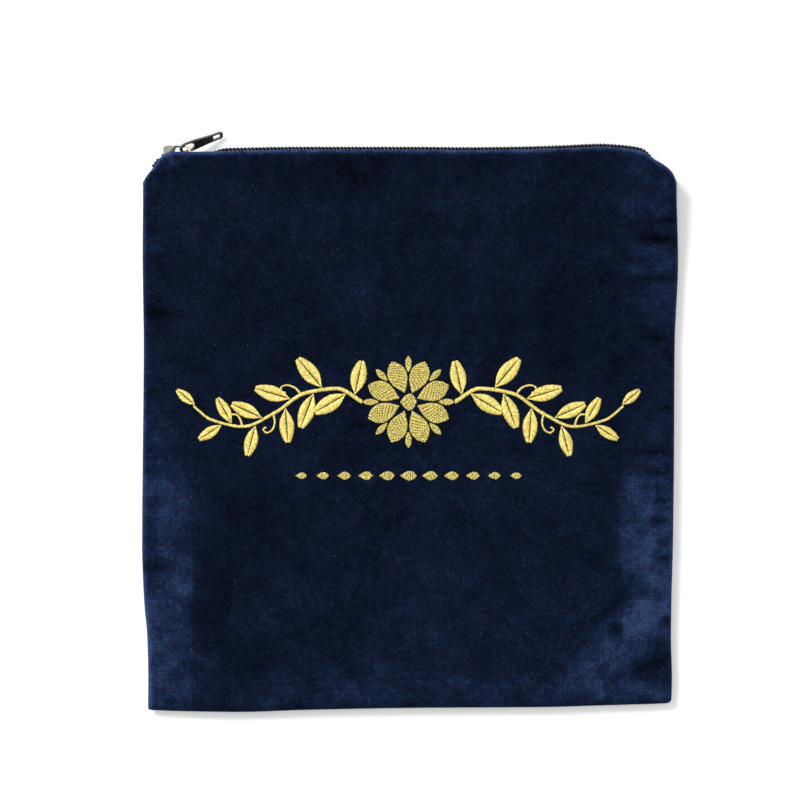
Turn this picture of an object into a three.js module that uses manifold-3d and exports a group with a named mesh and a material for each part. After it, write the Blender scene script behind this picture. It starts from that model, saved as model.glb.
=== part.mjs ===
// Tallit bag: a flat velvet pouch closed by a nylon coil zipper, lying on its back.
// Millimetres. +X runs to the right, +Y towards the zipper, +Z up from the surface it rests on.
import * as THREE from "three";
import { mergeVertices } from "three/addons/utils/BufferGeometryUtils.js";
import Module from "manifold-3d";

// Driving dimensions of the velvet bag
const gap = 0.3; // clearance between pieces that touch
const bagWidth = 240.4; // across the side seams at the mouth
const bagHeight = 252.6; // from the lowest point of the bottom edge to the velvet edge at the mouth
const wall = 1.5; // velvet with its turned backing
const bodyThickness = 10.8; // over both walls in the middle of the bag
const bottomThickness = 9.4; // over both walls just inside the bottom edge
const seamHeight = 3.6; // height of the side and bottom seam above the resting surface
const settleLength = 84; // how far up from the bottom edge the full body thickness is reached
const rollShare = 0.5; // share of the front wall's climb that the roll at the seam takes
const frontRoll = 3.4; // how far in from the seam the front wall has turned level
const frontSlope = 34; // how far in from the seam the front wall still climbs
const backRoll = 7; // how far in from the seam the back wall has come down flat
const mouthFade = 46; // length over which the mouth's thickness settles into the body's
const sidePull = 3; // how far the sides draw in below the mouth
const bottomSlant = 4; // how much higher the bottom edge ends at the right
const cornerDrop = 16; // how far the top corners are cut down
const leftCorner = 13; // width of the left top corner's cut
const rightCorner = 20; // width of the right top corner's cut
const mouthWave = 1; // height of the mouth's long waves
const foldDepth = 1.6; // depth of the deepest fold

// Driving dimensions of the zipper
const toothPitch = 1.66;
const coilHeight = 1.9;
const coilHalfWidth = 2.5; // from the chain's centre to a coil's outer side
const toothReach = 1.1; // how far a tooth swings to each side of the chain's centre line
const toothGap = 0.9; // between the two zigzags, measured across the chain
const toothNotch = 0.33; // how much lower the coil is between its teeth
const tapeThickness = 0.6;
const tapeHem = 12; // from the velvet edge down to the tape's hem
const hemInset = 8; // how far the tape's hem stops short of the chain at each end
const coilStand = 1.05; // coil's middle above the velvet edge
const tuckDepth = 2.7; // how far the chain sinks behind the velvet at its right end
const tuckLength = 6; // length over which it sinks
const tuckInset = 8.5; // where it is fully sunk, in from the side seam
const chainClimb = 16; // length over which the chain climbs from the slider to the mouth
const cornerStand = 0.9; // how much further the chain stands out at the left corner
const cornerBend = 0.7; // softness of the chain's bend at the left corner
const chainLeftInset = 4.8; // chain's left end, in from the side seam
const chainRightInset = 4.6; // chain's right end, in from the side seam

// Driving dimensions of the slider, its spring and its pull
const sliderLength = 13.5;
const sliderInset = 15.4; // slider's middle, in from the left side seam
const sliderSink = 4.35; // chain's level in the slider below the top of the velvet
const plateThickness = 1;
const plateCorner = 2; // size of the plates' round shoulders
const tailLength = 3.7; // length over which the plates narrow to their tail
const tailNarrowing = 0.4; // how much each side of the tail draws in
const flange = 0.8;
const neckHalfWidth = 0.65;
const neckLength = 2.4;
const neckInset = 0.8; // neck's left side, in from the plate's left end
const crownWidth = 1.5;
const crownBar = 0.8;
const crownOpening = 3; // clear height under the crown's bar
const barInset = 2.85; // right end of the crown's bar, in from the plate's right end
const noseInset = 0.45; // left end of the crown, in from the plate's left end
const noseRound = 2.2; // length of the round at the crown's left end
const footInset = 0.9; // crown's foot, in from its left end
const footLength = 4.6; // crown's foot along the plate
const underRound = 1.2; // length of the round between the foot and the bar's underside
const springThickness = 1.2; // the leaf with the locking pin behind it
const springWidth = 1.1;
const springInset = 0.15; // foot of the spring, in from the plate's right end
const tabLength = 21;
const tabWidth = 6; // at the eye
const tipWidth = 4.2; // at the window
const tabThickness = 1;
const eyeLength = 5.8;
const eyeWidth = 4.2;
const eyeInset = 4.1; // eye's centre from the pull's root end
const windowLength = 3.3;
const windowWidth = 2.6;
const windowInset = 3.1; // window's centre from the pull's far end
const tipBevel = 1;
const pullInset = 1.55; // eye's centre, in from the plate's right end
const pullRise = 3.2; // eye's centre above the upper plate
const pullForward = 0.4; // eye's centre in front of the slider's middle
const pullLift = 21.5; // climb of the pull to the right, in degrees
const pullLean = -14; // lean of the pull towards the front, in degrees
const pullTwist = 54; // turn of the pull's broad face from the front towards the bag, in degrees

// Sizes that follow from those above
const halfWidth = bagWidth / 2;
const topY = bagHeight / 2;
const bottomY = -bagHeight / 2;
const plateHalfWidth = coilHalfWidth + gap + flange;
const tapeUnder = coilHeight / 2 + gap; // chain's middle down to the tape's top
const tapeSide = plateHalfWidth + gap; // chain's middle out to the tape's inner face
const mouthHalf = tapeSide + tapeThickness + gap; // chain's middle out to the velvet
const chainZ = wall + mouthHalf;
const mouthThickness = 2 * (mouthHalf + wall);
const sliderX = -halfWidth + sliderInset;
const sliderY = topY - sliderSink;
const plateTop = coilHeight / 2 + gap + plateThickness;
const crownUnder = plateTop + crownOpening;
const barEnd = sliderLength / 2 - barInset;
const springEnd = sliderLength / 2 - springInset;

// Side edges: how far each side is drawn in, as shares of sidePull, against the share of the height.
const sideRows = [
  { up: 0.0, left: 0.78, right: 1.0 },
  { up: 0.06, left: 0.83, right: 0.85 },
  { up: 0.13, left: 0.7, right: 1.0 },
  { up: 0.2, left: 0.2, right: 0.93 },
  { up: 0.3, left: -0.1, right: 0.7 },
  { up: 0.45, left: 0.0, right: 0.55 },
  { up: 0.65, left: 0.15, right: 0.45 },
  { up: 0.8, left: 0.0, right: -0.05 },
  { up: 0.91, left: 0.1, right: 0.2 },
  { up: 1.0, left: 0.15, right: 0.28 },
];

// Bottom edge: its rise as a share of bottomSlant, against the share of the width.
const bottomRows = [
  { across: 0.0, rise: 0.25 },
  { across: 0.08, rise: 0.08 },
  { across: 0.18, rise: 0.0 },
  { across: 0.3, rise: 0.22 },
  { across: 0.5, rise: 0.45 },
  { across: 0.75, rise: 0.55 },
  { across: 0.85, rise: 0.72 },
  { across: 0.97, rise: 0.95 },
  { across: 1.0, rise: 1.08 },
];

// Cut corners at the mouth: the drop as a share of cornerDrop, against the share of the corner's width.
const leftCornerRows = [
  { inward: 0.0, drop: 1.0 },
  { inward: 0.14, drop: 0.84 },
  { inward: 0.23, drop: 0.74 },
  { inward: 0.315, drop: 0.655 },
  { inward: 0.415, drop: 0.57 },
  { inward: 0.555, drop: 0.39 },
  { inward: 0.66, drop: 0.27 },
  { inward: 0.79, drop: 0.155 },
  { inward: 0.89, drop: 0.11 },
  { inward: 1.0, drop: 0.0875 },
];
const rightCornerRows = [
  { inward: 0.0, drop: 1.0 },
  { inward: 0.09, drop: 0.9 },
  { inward: 0.12, drop: 0.77 },
  { inward: 0.165, drop: 0.655 },
  { inward: 0.235, drop: 0.575 },
  { inward: 0.395, drop: 0.41 },
  { inward: 0.535, drop: 0.325 },
  { inward: 0.665, drop: 0.21 },
  { inward: 0.82, drop: 0.075 },
  { inward: 1.0, drop: 0.02 },
];

// Mouth between the corners: its lift as a share of mouthWave, against the share of the way across.
const mouthRows = [
  { across: 0.0, lift: -1.4 },
  { across: 0.06, lift: -1.35 },
  { across: 0.15, lift: -0.97 },
  { across: 0.28, lift: -0.55 },
  { across: 0.54, lift: -0.58 },
  { across: 0.63, lift: -0.75 },
  { across: 0.76, lift: -0.45 },
  { across: 0.84, lift: 0.05 },
  { across: 0.93, lift: 0.8 },
  { across: 0.97, lift: 0.35 },
  { across: 1.0, lift: -0.32 },
];

// Folds of the front wall: middle as shares of width and height, half length and half breadth as
// shares of the height, depth as a share of foldDepth, and the turn of its length from +X in degrees.
const foldRows = [
  { across: 0.965, up: 0.84, long: 0.05, broad: 0.016, deep: 0.7, turn: 4 },
  { across: 0.955, up: 0.665, long: 0.06, broad: 0.022, deep: 0.8, turn: -3 },
  { across: 0.965, up: 0.46, long: 0.055, broad: 0.016, deep: 0.6, turn: 3 },
  { across: 0.965, up: 0.34, long: 0.05, broad: 0.018, deep: 0.6, turn: -4 },
  { across: 0.875, up: 0.185, long: 0.1, broad: 0.02, deep: 0.9, turn: 41 },
  { across: 0.93, up: 0.066, long: 0.11, broad: 0.022, deep: 1.0, turn: 43 },
  { across: 0.026, up: 0.855, long: 0.04, broad: 0.02, deep: 0.5, turn: 0 },
  { across: 0.04, up: 0.705, long: 0.06, broad: 0.03, deep: 0.6, turn: 2 },
  { across: 0.5, up: 0.97, long: 0.5, broad: 0.012, deep: -0.12, turn: 0 },
];

const velvet = new THREE.MeshStandardMaterial({ color: 0x0d1c3a, roughness: 0.95, metalness: 0 });
const tapeCloth = new THREE.MeshStandardMaterial({ color: 0x17171a, roughness: 0.9, metalness: 0 });
const coilNylon = new THREE.MeshStandardMaterial({ color: 0x202024, roughness: 0.45, metalness: 0 });
const blackMetal = new THREE.MeshStandardMaterial({ color: 0x2a2a2d, roughness: 0.35, metalness: 0.9 });
const springMetal = new THREE.MeshStandardMaterial({ color: 0xc98f6a, roughness: 0.3, metalness: 1 });

const library = await Module();
library.setup();

// Value of a table's column at a place, on a smooth curve that never overshoots its rows.
function along(rows, key, column, at) {
  const end = rows.length - 1;
  if (at <= rows[0][key]) return rows[0][column];
  if (at >= rows[end][key]) return rows[end][column];
  const high = rows.findIndex((row) => row[key] >= at);
  const low = high - 1;
  const secant = (i) => (rows[i + 1][column] - rows[i][column]) / (rows[i + 1][key] - rows[i][key]);
  const tangent = (i) => {
    if (i === 0) return secant(0);
    if (i === end) return secant(end - 1);
    const before = secant(i - 1);
    const after = secant(i);
    return before * after <= 0 ? 0 : (2 * before * after) / (before + after);
  };
  const span = rows[high][key] - rows[low][key];
  const t = (at - rows[low][key]) / span;
  const keepLow = (1 + 2 * t) * (1 - t) ** 2;
  const leave = t * (1 - t) ** 2;
  const arrive = t * t * (t - 1);
  return (
    rows[low][column] * keepLow +
    rows[high][column] * (1 - keepLow) +
    span * (tangent(low) * leave + tangent(high) * arrive)
  );
}

// Quarter of an ellipse: 0 at the start, 1 with a level end, upright where it starts.
function roundTurn(t) {
  const rest = 1 - THREE.MathUtils.clamp(t, 0, 1);
  return Math.sqrt(1 - rest * rest);
}

function leftEdge(y) {
  return -halfWidth + sidePull * along(sideRows, "up", "left", (y - bottomY) / bagHeight);
}

function rightEdge(y) {
  return halfWidth - sidePull * along(sideRows, "up", "right", (y - bottomY) / bagHeight);
}

function bottomEdge(x) {
  return bottomY + bottomSlant * along(bottomRows, "across", "rise", (x + halfWidth) / bagWidth);
}

function mouthEdge(x) {
  const fromLeft = x + halfWidth;
  const fromRight = halfWidth - x;
  if (fromLeft < leftCorner) {
    return topY - cornerDrop * along(leftCornerRows, "inward", "drop", fromLeft / leftCorner);
  }
  if (fromRight < rightCorner) {
    return topY - cornerDrop * along(rightCornerRows, "inward", "drop", fromRight / rightCorner);
  }
  const across = (fromLeft - leftCorner) / (bagWidth - leftCorner - rightCorner);
  return topY + mouthWave * along(mouthRows, "across", "lift", across);
}

// 1 in the level band along the mouth, 0 in the body of the bag.
function nearMouth(y) {
  return THREE.MathUtils.smoothstep(y, topY - cornerDrop - mouthFade, topY - cornerDrop);
}

function seamAt(y) {
  return THREE.MathUtils.lerp(seamHeight, chainZ, nearMouth(y));
}

// A share across and up the bag becomes a point of its plan, drawn in from the seams by inset.
// It also gives the distance to the nearest seam: the mouth has none.
function planPoint(across, up, inset) {
  const cornerLeft = mouthEdge(leftEdge(topY) + inset);
  const cornerRight = mouthEdge(rightEdge(topY) - inset);
  let x = 0;
  let y = 0;
  for (let pass = 0; pass < 6; pass += 1) {
    const left = leftEdge(y) + inset;
    const right = rightEdge(y) - inset;
    x = THREE.MathUtils.lerp(left, right, across);
    y = THREE.MathUtils.lerp(bottomEdge(x) + inset, mouthEdge(x), up);
  }
  const fromLeft = Math.hypot(x - leftEdge(y) - inset, Math.max(0, y - cornerLeft));
  const fromRight = Math.hypot(rightEdge(y) - inset - x, Math.max(0, y - cornerRight));
  const fromBottom = y - bottomEdge(x) - inset;
  return { x, y, fromSide: Math.min(fromLeft, fromRight), fromBottom };
}

function foldAt(x, y) {
  let depth = 0;
  for (const fold of foldRows) {
    const turn = THREE.MathUtils.degToRad(fold.turn);
    const right = x - (fold.across - 0.5) * bagWidth;
    const upward = y - bottomY - fold.up * bagHeight;
    const lengthways = (right * Math.cos(turn) + upward * Math.sin(turn)) / (fold.long * bagHeight);
    const crossways = (upward * Math.cos(turn) - right * Math.sin(turn)) / (fold.broad * bagHeight);
    depth += fold.deep * Math.exp(-lengthways * lengthways - crossways * crossways);
  }
  return foldDepth * depth;
}

// The front wall's surface: it turns up from the seam, then climbs gently to the body's thickness.
function frontPoint(across, up, inset) {
  const plan = planPoint(across, up, inset);
  const mouth = nearMouth(plan.y);
  const settle = THREE.MathUtils.smoothstep(plan.y, bottomY, bottomY + settleLength);
  const body = THREE.MathUtils.lerp(bottomThickness, bodyThickness, settle);
  const top = THREE.MathUtils.lerp(body, mouthThickness, mouth) - inset;
  const turned = THREE.MathUtils.lerp(rollShare, 1, mouth);
  const climb = (from) => turned * roundTurn(from / frontRoll)
    + (1 - turned) * Math.sin((Math.PI / 2) * THREE.MathUtils.clamp(from / frontSlope, 0, 1));
  const seam = seamAt(plan.y) + gap / 2;
  const level = climb(plan.fromSide) * climb(plan.fromBottom);
  const fold = foldAt(plan.x, plan.y) * roundTurn(plan.fromSide / frontRoll) * (1 - mouth);
  return new THREE.Vector3(plan.x, plan.y, THREE.MathUtils.lerp(seam, top - fold, level));
}

// The back wall's surface: it comes down from the seam and lies flat on what the bag rests on.
function backPoint(across, up, inset) {
  const plan = planPoint(across, up, inset);
  const seam = seamAt(plan.y) - gap / 2;
  const flat = roundTurn(plan.fromSide / backRoll) * roundTurn(plan.fromBottom / backRoll);
  return new THREE.Vector3(plan.x, plan.y, THREE.MathUtils.lerp(seam, inset, flat));
}

// Shares along a side: a few steps close to each seam, then even ones.
function stationShares(length, edgeSteps, count, seamAtEnd) {
  const reach = edgeSteps[edgeSteps.length - 1];
  const start = edgeSteps.map((step) => step / length);
  const finish = seamAtEnd ? edgeSteps.map((step) => 1 - step / length).reverse() : [1];
  const last = seamAtEnd ? 1 - reach / length : 1;
  const middle = [];
  for (let i = 1; i < count; i += 1) {
    middle.push(THREE.MathUtils.lerp(reach / length, last, i / count));
  }
  return [...start, ...middle, ...finish];
}

// A closed body from triangles given as corner points, with shared corners merged.
function bodyFrom(triangles) {
  const geometry = new THREE.BufferGeometry().setFromPoints(triangles.flat());
  const merged = mergeVertices(geometry, 1e-4);
  merged.computeVertexNormals();
  return merged;
}

function quad(a, b, c, d) {
  return [[a, b, c], [a, c, d]];
}

// A cloth wall: its outer and inner surfaces share one grid, and its rims are closed between them.
function clothWall(acrossShares, upShares, surface, facesUp) {
  const grid = (inset) => upShares.map((up) => acrossShares.map((across) => surface(across, up, inset)));
  const outer = grid(0);
  const inner = grid(wall);
  const rows = upShares.length - 1;
  const columns = acrossShares.length - 1;
  const triangles = [];
  for (let j = 0; j < rows; j += 1) {
    for (let i = 0; i < columns; i += 1) {
      triangles.push(...quad(outer[j][i], outer[j][i + 1], outer[j + 1][i + 1], outer[j + 1][i]));
      triangles.push(...quad(inner[j][i], inner[j + 1][i], inner[j + 1][i + 1], inner[j][i + 1]));
    }
  }
  for (let i = 0; i < columns; i += 1) {
    triangles.push(...quad(outer[0][i], inner[0][i], inner[0][i + 1], outer[0][i + 1]));
    triangles.push(...quad(outer[rows][i], outer[rows][i + 1], inner[rows][i + 1], inner[rows][i]));
  }
  for (let j = 0; j < rows; j += 1) {
    triangles.push(...quad(outer[j][0], outer[j + 1][0], inner[j + 1][0], inner[j][0]));
    triangles.push(
      ...quad(outer[j][columns], inner[j][columns], inner[j + 1][columns], outer[j + 1][columns]),
    );
  }
  return bodyFrom(facesUp ? triangles : triangles.map(([a, b, c]) => [a, c, b]));
}

// Height of the chain's middle: it follows the mouth, and runs level through the slider. To the right
// it climbs back over a length of its own; to the left it bends down over the cut corner.
function chainHeight(x) {
  const tuckEnd = halfWidth - tuckInset;
  const tucked = THREE.MathUtils.smoothstep(x, tuckEnd - tuckLength, tuckEnd);
  const onMouth = mouthEdge(x) + coilStand - tuckDepth * tucked;
  const clear = sliderX + sliderLength / 2 + gap;
  if (x > sliderX) {
    const climbed = THREE.MathUtils.smoothstep(x, clear, clear + chainClimb);
    return THREE.MathUtils.lerp(sliderY, onMouth, climbed);
  }
  const below = sliderY - onMouth - cornerStand;
  return sliderY - cornerBend * Math.log(1 + Math.exp(below / cornerBend));
}

// Stations along the chain, half a pitch apart: place, direction away from the bag, share of the way.
function chainStations(step) {
  const from = -halfWidth + chainLeftInset;
  const to = halfWidth - chainRightInset;
  const samples = Math.ceil((to - from) * 8);
  const route = [];
  for (let i = 0; i <= samples; i += 1) {
    const x = THREE.MathUtils.lerp(from, to, i / samples);
    route.push(new THREE.Vector3(x, chainHeight(x), 0));
  }
  const travelled = [0];
  for (let i = 1; i <= samples; i += 1) {
    travelled.push(travelled[i - 1] + route[i].distanceTo(route[i - 1]));
  }
  const total = travelled[samples];
  const placeAt = (distance) => {
    const high = Math.max(1, travelled.findIndex((length) => length >= Math.min(distance, total)));
    const part = (distance - travelled[high - 1]) / (travelled[high] - travelled[high - 1]);
    return new THREE.Vector3().lerpVectors(route[high - 1], route[high], part);
  };
  const count = Math.floor(total / step);
  const spacing = total / count;
  const stations = [];
  for (let k = 0; k <= count; k += 1) {
    const distance = k * spacing;
    const ahead = placeAt(Math.min(total, distance + spacing));
    const behind = placeAt(Math.max(0, distance - spacing));
    const tangent = ahead.sub(behind).normalize();
    stations.push({
      place: placeAt(distance),
      out: new THREE.Vector3(-tangent.y, tangent.x, 0),
      share: k / count,
    });
  }
  return stations;
}

// The stations that a sweep needs to stay within a tolerance of the chain's line.
function bendStations(stations, tolerance) {
  const kept = [stations[0]];
  const last = stations.length - 1;
  const nearest = new THREE.Vector3();
  let from = 0;
  for (let to = 2; to <= last; to += 1) {
    const chord = new THREE.Line3(stations[from].place, stations[to].place);
    const strays = stations.slice(from + 1, to).some(({ place }) => (
      chord.closestPointToPoint(place, true, nearest).distanceTo(place) > tolerance));
    if (strays) {
      from = to - 1;
      kept.push(stations[from]);
    }
  }
  kept.push(stations[last]);
  return kept;
}

// A body swept through stations, each with the same number of section points listed anticlockwise
// as seen against the sweep; flat lists the section's own plane for its two end caps.
function sweptBody(loops, flat) {
  const size = flat.length;
  const triangles = [];
  for (let k = 0; k + 1 < loops.length; k += 1) {
    for (let i = 0; i < size; i += 1) {
      const next = (i + 1) % size;
      triangles.push(...quad(loops[k][i], loops[k + 1][i], loops[k + 1][next], loops[k][next]));
    }
  }
  for (const [a, b, c] of THREE.ShapeUtils.triangulateShape(flat, [])) {
    const first = loops[0];
    const last = loops[loops.length - 1];
    triangles.push([first[a], first[b], first[c]]);
    triangles.push([last[a], last[c], last[b]]);
  }
  return bodyFrom(triangles);
}

// Point of a station's section: a distance out from the bag, and one across the chain.
function sectionPoint(station, out, across) {
  return station.place.clone().addScaledVector(station.out, out)
    .add(new THREE.Vector3(0, 0, chainZ + across));
}

// One half of the coil, as a comb whose teeth lie between those of the other half.
function coilBody(side) {
  const neckFrom = sliderX - sliderLength / 2 + neckInset - gap - toothPitch / 2;
  const neckTo = neckFrom + neckLength + 2 * gap + toothPitch;
  const loops = chainStations(toothPitch / 2).map((station, k) => {
    const swing = k % 2 === 0 ? toothReach : -toothReach;
    const atNeck = station.place.x > neckFrom && station.place.x < neckTo;
    const inner = atNeck ? side * (neckHalfWidth + gap) : side * (toothGap / 2) + swing;
    const isTip = swing * side < 0;
    const top = coilHeight / 2 - (isTip ? 0 : toothNotch);
    const base = -coilHeight / 2;
    const outer = side * coilHalfWidth;
    const points = [
      sectionPoint(station, top, inner),
      sectionPoint(station, base, inner),
      sectionPoint(station, base, outer),
      sectionPoint(station, top, outer),
    ];
    return side > 0 ? points : points.reverse();
  });
  const square = [
    new THREE.Vector2(0, 1),
    new THREE.Vector2(0, 0),
    new THREE.Vector2(1, 0),
    new THREE.Vector2(1, 1),
  ];
  return sweptBody(loops, square);
}

// One side of the tape: it lies under the coil, then turns down inside the velvet to its hem.
function tapeBody(side) {
  const near = neckHalfWidth + gap;
  const hemFrom = -halfWidth + chainLeftInset + hemInset;
  const hemTo = halfWidth - chainRightInset - hemInset;
  const hemY = topY - tapeHem;
  const loops = bendStations(chainStations(toothPitch / 2), gap / 6).map((station) => {
    const hem = (across) => new THREE.Vector3(
      THREE.MathUtils.lerp(hemFrom, hemTo, station.share), hemY, chainZ + across);
    const points = [
      sectionPoint(station, -tapeUnder, side * near),
      sectionPoint(station, -tapeUnder - tapeThickness, side * near),
      sectionPoint(station, -tapeUnder - tapeThickness, side * tapeSide),
      hem(side * tapeSide),
      hem(side * (tapeSide + tapeThickness)),
      sectionPoint(station, -tapeUnder, side * (tapeSide + tapeThickness)),
    ];
    return side > 0 ? points : points.reverse();
  });
  const flat = [
    new THREE.Vector2(near, -tapeUnder),
    new THREE.Vector2(near, -tapeUnder - tapeThickness),
    new THREE.Vector2(tapeSide, -tapeUnder - tapeThickness),
    new THREE.Vector2(tapeSide, -tapeHem),
    new THREE.Vector2(tapeSide + tapeThickness, -tapeHem),
    new THREE.Vector2(tapeSide + tapeThickness, -tapeUnder),
  ];
  return sweptBody(loops, side > 0 ? flat : flat.map((p) => new THREE.Vector2(-p.x, p.y)).reverse());
}

function solidFrom(geometry) {
  const bare = geometry.clone().deleteAttribute("normal").deleteAttribute("uv");
  const merged = mergeVertices(bare, 1e-4);
  return new library.Manifold(new library.Mesh({
    numProp: 3,
    vertProperties: new Float32Array(merged.attributes.position.array),
    triVerts: new Uint32Array(merged.index.array),
  }));
}

function geometryFrom(solid) {
  const mesh = solid.getMesh();
  const geometry = new THREE.BufferGeometry();
  geometry.setAttribute("position", new THREE.BufferAttribute(mesh.vertProperties, 3));
  geometry.setIndex(new THREE.BufferAttribute(mesh.triVerts, 1));
  return geometry;
}

// An outline extruded across the slider, centred on its middle plane.
function acrossSlider(outline, width) {
  const body = new THREE.ExtrudeGeometry(outline, {
    depth: width, bevelEnabled: false, curveSegments: 5,
  });
  return body.translate(0, 0, -width / 2);
}

// A plate of the slider between two heights: round at its shoulders, narrower at its tail.
function sliderPlate(from, to) {
  const half = sliderLength / 2;
  const shoulder = plateHalfWidth - plateCorner;
  const tail = plateHalfWidth - tailNarrowing;
  const outline = new THREE.Shape();
  outline.moveTo(-half, -shoulder);
  outline.quadraticCurveTo(-half, -plateHalfWidth, -half + plateCorner, -plateHalfWidth);
  outline.lineTo(half - tailLength, -plateHalfWidth);
  outline.lineTo(half - flange, -tail);
  outline.lineTo(half, -tail + flange);
  outline.lineTo(half, tail - flange);
  outline.lineTo(half - flange, tail);
  outline.lineTo(half - tailLength, plateHalfWidth);
  outline.lineTo(-half + plateCorner, plateHalfWidth);
  outline.quadraticCurveTo(-half, plateHalfWidth, -half, shoulder);
  outline.closePath();
  const body = new THREE.ExtrudeGeometry(outline, {
    depth: to - from, bevelEnabled: false, curveSegments: 4,
  });
  return body.rotateX(-Math.PI / 2).translate(0, from, 0);
}

function box(fromX, toX, fromY, toY, fromZ, toZ) {
  const body = new THREE.BoxGeometry(toX - fromX, toY - fromY, toZ - fromZ);
  return body.translate((fromX + toX) / 2, (fromY + toY) / 2, (fromZ + toZ) / 2);
}

// The crown: a round nose that rises from the upper plate and runs on as a bar over the opening.
function crownGeometry() {
  const top = crownUnder + crownBar;
  const root = plateTop - plateThickness / 2;
  const left = -sliderLength / 2 + noseInset;
  const footFrom = left + footInset;
  const footTo = footFrom + footLength;
  const outline = new THREE.Shape();
  outline.moveTo(footFrom, root);
  outline.lineTo(left + footInset / 2, plateTop + crownBar / 2);
  outline.quadraticCurveTo(left - footInset / 2, top, left + noseRound, top);
  outline.lineTo(barEnd - gap, top);
  outline.quadraticCurveTo(barEnd, top, barEnd, top - gap);
  outline.lineTo(barEnd, crownUnder);
  outline.lineTo(footTo + underRound, crownUnder);
  outline.quadraticCurveTo(footTo, crownUnder, footTo, plateTop);
  outline.lineTo(footTo, root);
  outline.closePath();
  return acrossSlider(outline, crownWidth);
}

function sliderGeometry() {
  const half = sliderLength / 2;
  const lowerTop = -(tapeUnder + tapeThickness + gap);
  const upperBase = coilHeight / 2 + gap;
  const neckFrom = -half + neckInset;
  const into = plateThickness / 2;
  let body = solidFrom(sliderPlate(upperBase, plateTop))
    .add(solidFrom(sliderPlate(lowerTop - plateThickness, lowerTop)))
    .add(solidFrom(box(neckFrom, neckFrom + neckLength, lowerTop - into, upperBase + into,
      -neckHalfWidth, neckHalfWidth)))
    .add(solidFrom(crownGeometry()));
  for (const side of [-1, 1]) {
    const inner = side * (coilHalfWidth + gap);
    const outer = side * plateHalfWidth;
    const flangeFrom = -half + plateCorner + flange;
    body = body.add(solidFrom(box(flangeFrom, half - tailLength, -tapeUnder + gap, upperBase + into,
      Math.min(inner, outer), Math.max(inner, outer))));
  }
  return geometryFrom(body);
}

// The spring leaf: it closes the opening from the end of the crown's bar down to the upper plate.
function springGeometry() {
  const top = crownUnder + crownBar;
  const foot = plateTop + gap;
  const start = barEnd + gap;
  const leaf = new THREE.Shape();
  leaf.moveTo(start, top - springThickness);
  leaf.quadraticCurveTo(
    springEnd - springThickness, top - springThickness, springEnd - springThickness, foot);
  leaf.lineTo(springEnd, foot);
  leaf.quadraticCurveTo(springEnd, top, start, top);
  leaf.closePath();
  return geometryFrom(solidFrom(acrossSlider(leaf, springWidth)));
}

// The pull, along its own length from the eye's centre: an eye, a window and a bevelled far end.
function pullGeometry() {
  const half = tabWidth / 2;
  const tipHalf = tipWidth / 2;
  const root = -eyeInset;
  const tip = tabLength - eyeInset;
  const taperFrom = eyeLength / 2 - gap;
  const taperTo = tip - windowInset - windowLength / 2 - tipBevel;
  const outline = new THREE.Shape();
  outline.moveTo(tip - tipBevel, tipHalf);
  outline.lineTo(taperTo, tipHalf);
  outline.lineTo(taperFrom, half);
  outline.lineTo(root + half, half);
  outline.absarc(root + half, 0, half, Math.PI / 2, Math.PI * 1.5, false);
  outline.lineTo(taperFrom, -half);
  outline.lineTo(taperTo, -tipHalf);
  outline.lineTo(tip - tipBevel, -tipHalf);
  outline.lineTo(tip, -tipHalf + tipBevel * 0.8);
  outline.lineTo(tip, tipHalf - tipBevel * 0.8);
  outline.closePath();
  const eye = new THREE.Path();
  const straight = (eyeLength - eyeWidth) / 2;
  eye.absarc(straight, 0, eyeWidth / 2, -Math.PI / 2, Math.PI / 2, false);
  eye.absarc(-straight, 0, eyeWidth / 2, Math.PI / 2, Math.PI * 1.5, false);
  eye.closePath();
  const middle = tip - windowInset;
  const opening = new THREE.Path();
  opening.moveTo(middle - windowLength / 2, -windowWidth / 2);
  opening.lineTo(middle + windowLength / 2, -windowWidth / 2);
  opening.lineTo(middle + windowLength / 2, windowWidth / 2);
  opening.lineTo(middle - windowLength / 2, windowWidth / 2);
  opening.closePath();
  outline.holes.push(eye, opening);
  const body = new THREE.ExtrudeGeometry(outline, {
    depth: tabThickness, bevelEnabled: false, curveSegments: 10,
  });
  return geometryFrom(solidFrom(body.translate(0, 0, -tabThickness / 2)));
}

function piece(name, geometry, material) {
  const mesh = new THREE.Mesh(geometry, material);
  mesh.name = name;
  return mesh;
}

const frontSteps = [0, 0.7, 1.9, 3.6, 8, 16];
const backSteps = [0, 0.6, 1.9, 4, 7.2];
const bag = new THREE.Group();
bag.add(
  piece("front_panel", clothWall(
    stationShares(bagWidth, frontSteps, 16, true),
    stationShares(bagHeight, frontSteps, 26, false),
    frontPoint, true), velvet),
  piece("back_panel", clothWall(
    stationShares(bagWidth, backSteps, 10, true),
    stationShares(bagHeight, backSteps, 12, false),
    backPoint, false), velvet),
  piece("front_tape", tapeBody(1), tapeCloth),
  piece("back_tape", tapeBody(-1), tapeCloth),
  piece("front_coil", coilBody(1), coilNylon),
  piece("back_coil", coilBody(-1), coilNylon),
);

const slider = new THREE.Group();
slider.position.set(sliderX, sliderY, chainZ);
slider.add(
  piece("slider_body", sliderGeometry(), blackMetal),
  piece("locking_spring", springGeometry(), springMetal),
);
const pull = piece("pull_tab", pullGeometry(), blackMetal);
pull.position.set(sliderLength / 2 - pullInset, plateTop + pullRise, pullForward);
pull.rotation.set(
  THREE.MathUtils.degToRad(pullTwist),
  THREE.MathUtils.degToRad(-pullLean),
  THREE.MathUtils.degToRad(pullLift),
  "ZYX");
slider.add(pull);
bag.add(slider);

export default bag;
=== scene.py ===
"""The looks of a velvet tallit bag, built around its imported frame.

Sizes and tables here are millimetres. Camera, lamps, floor and bumps are metres, as Blender has them.
"""
import math

import bpy
import numpy as np
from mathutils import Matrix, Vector
from mathutils.bvhtree import BVHTree


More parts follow.
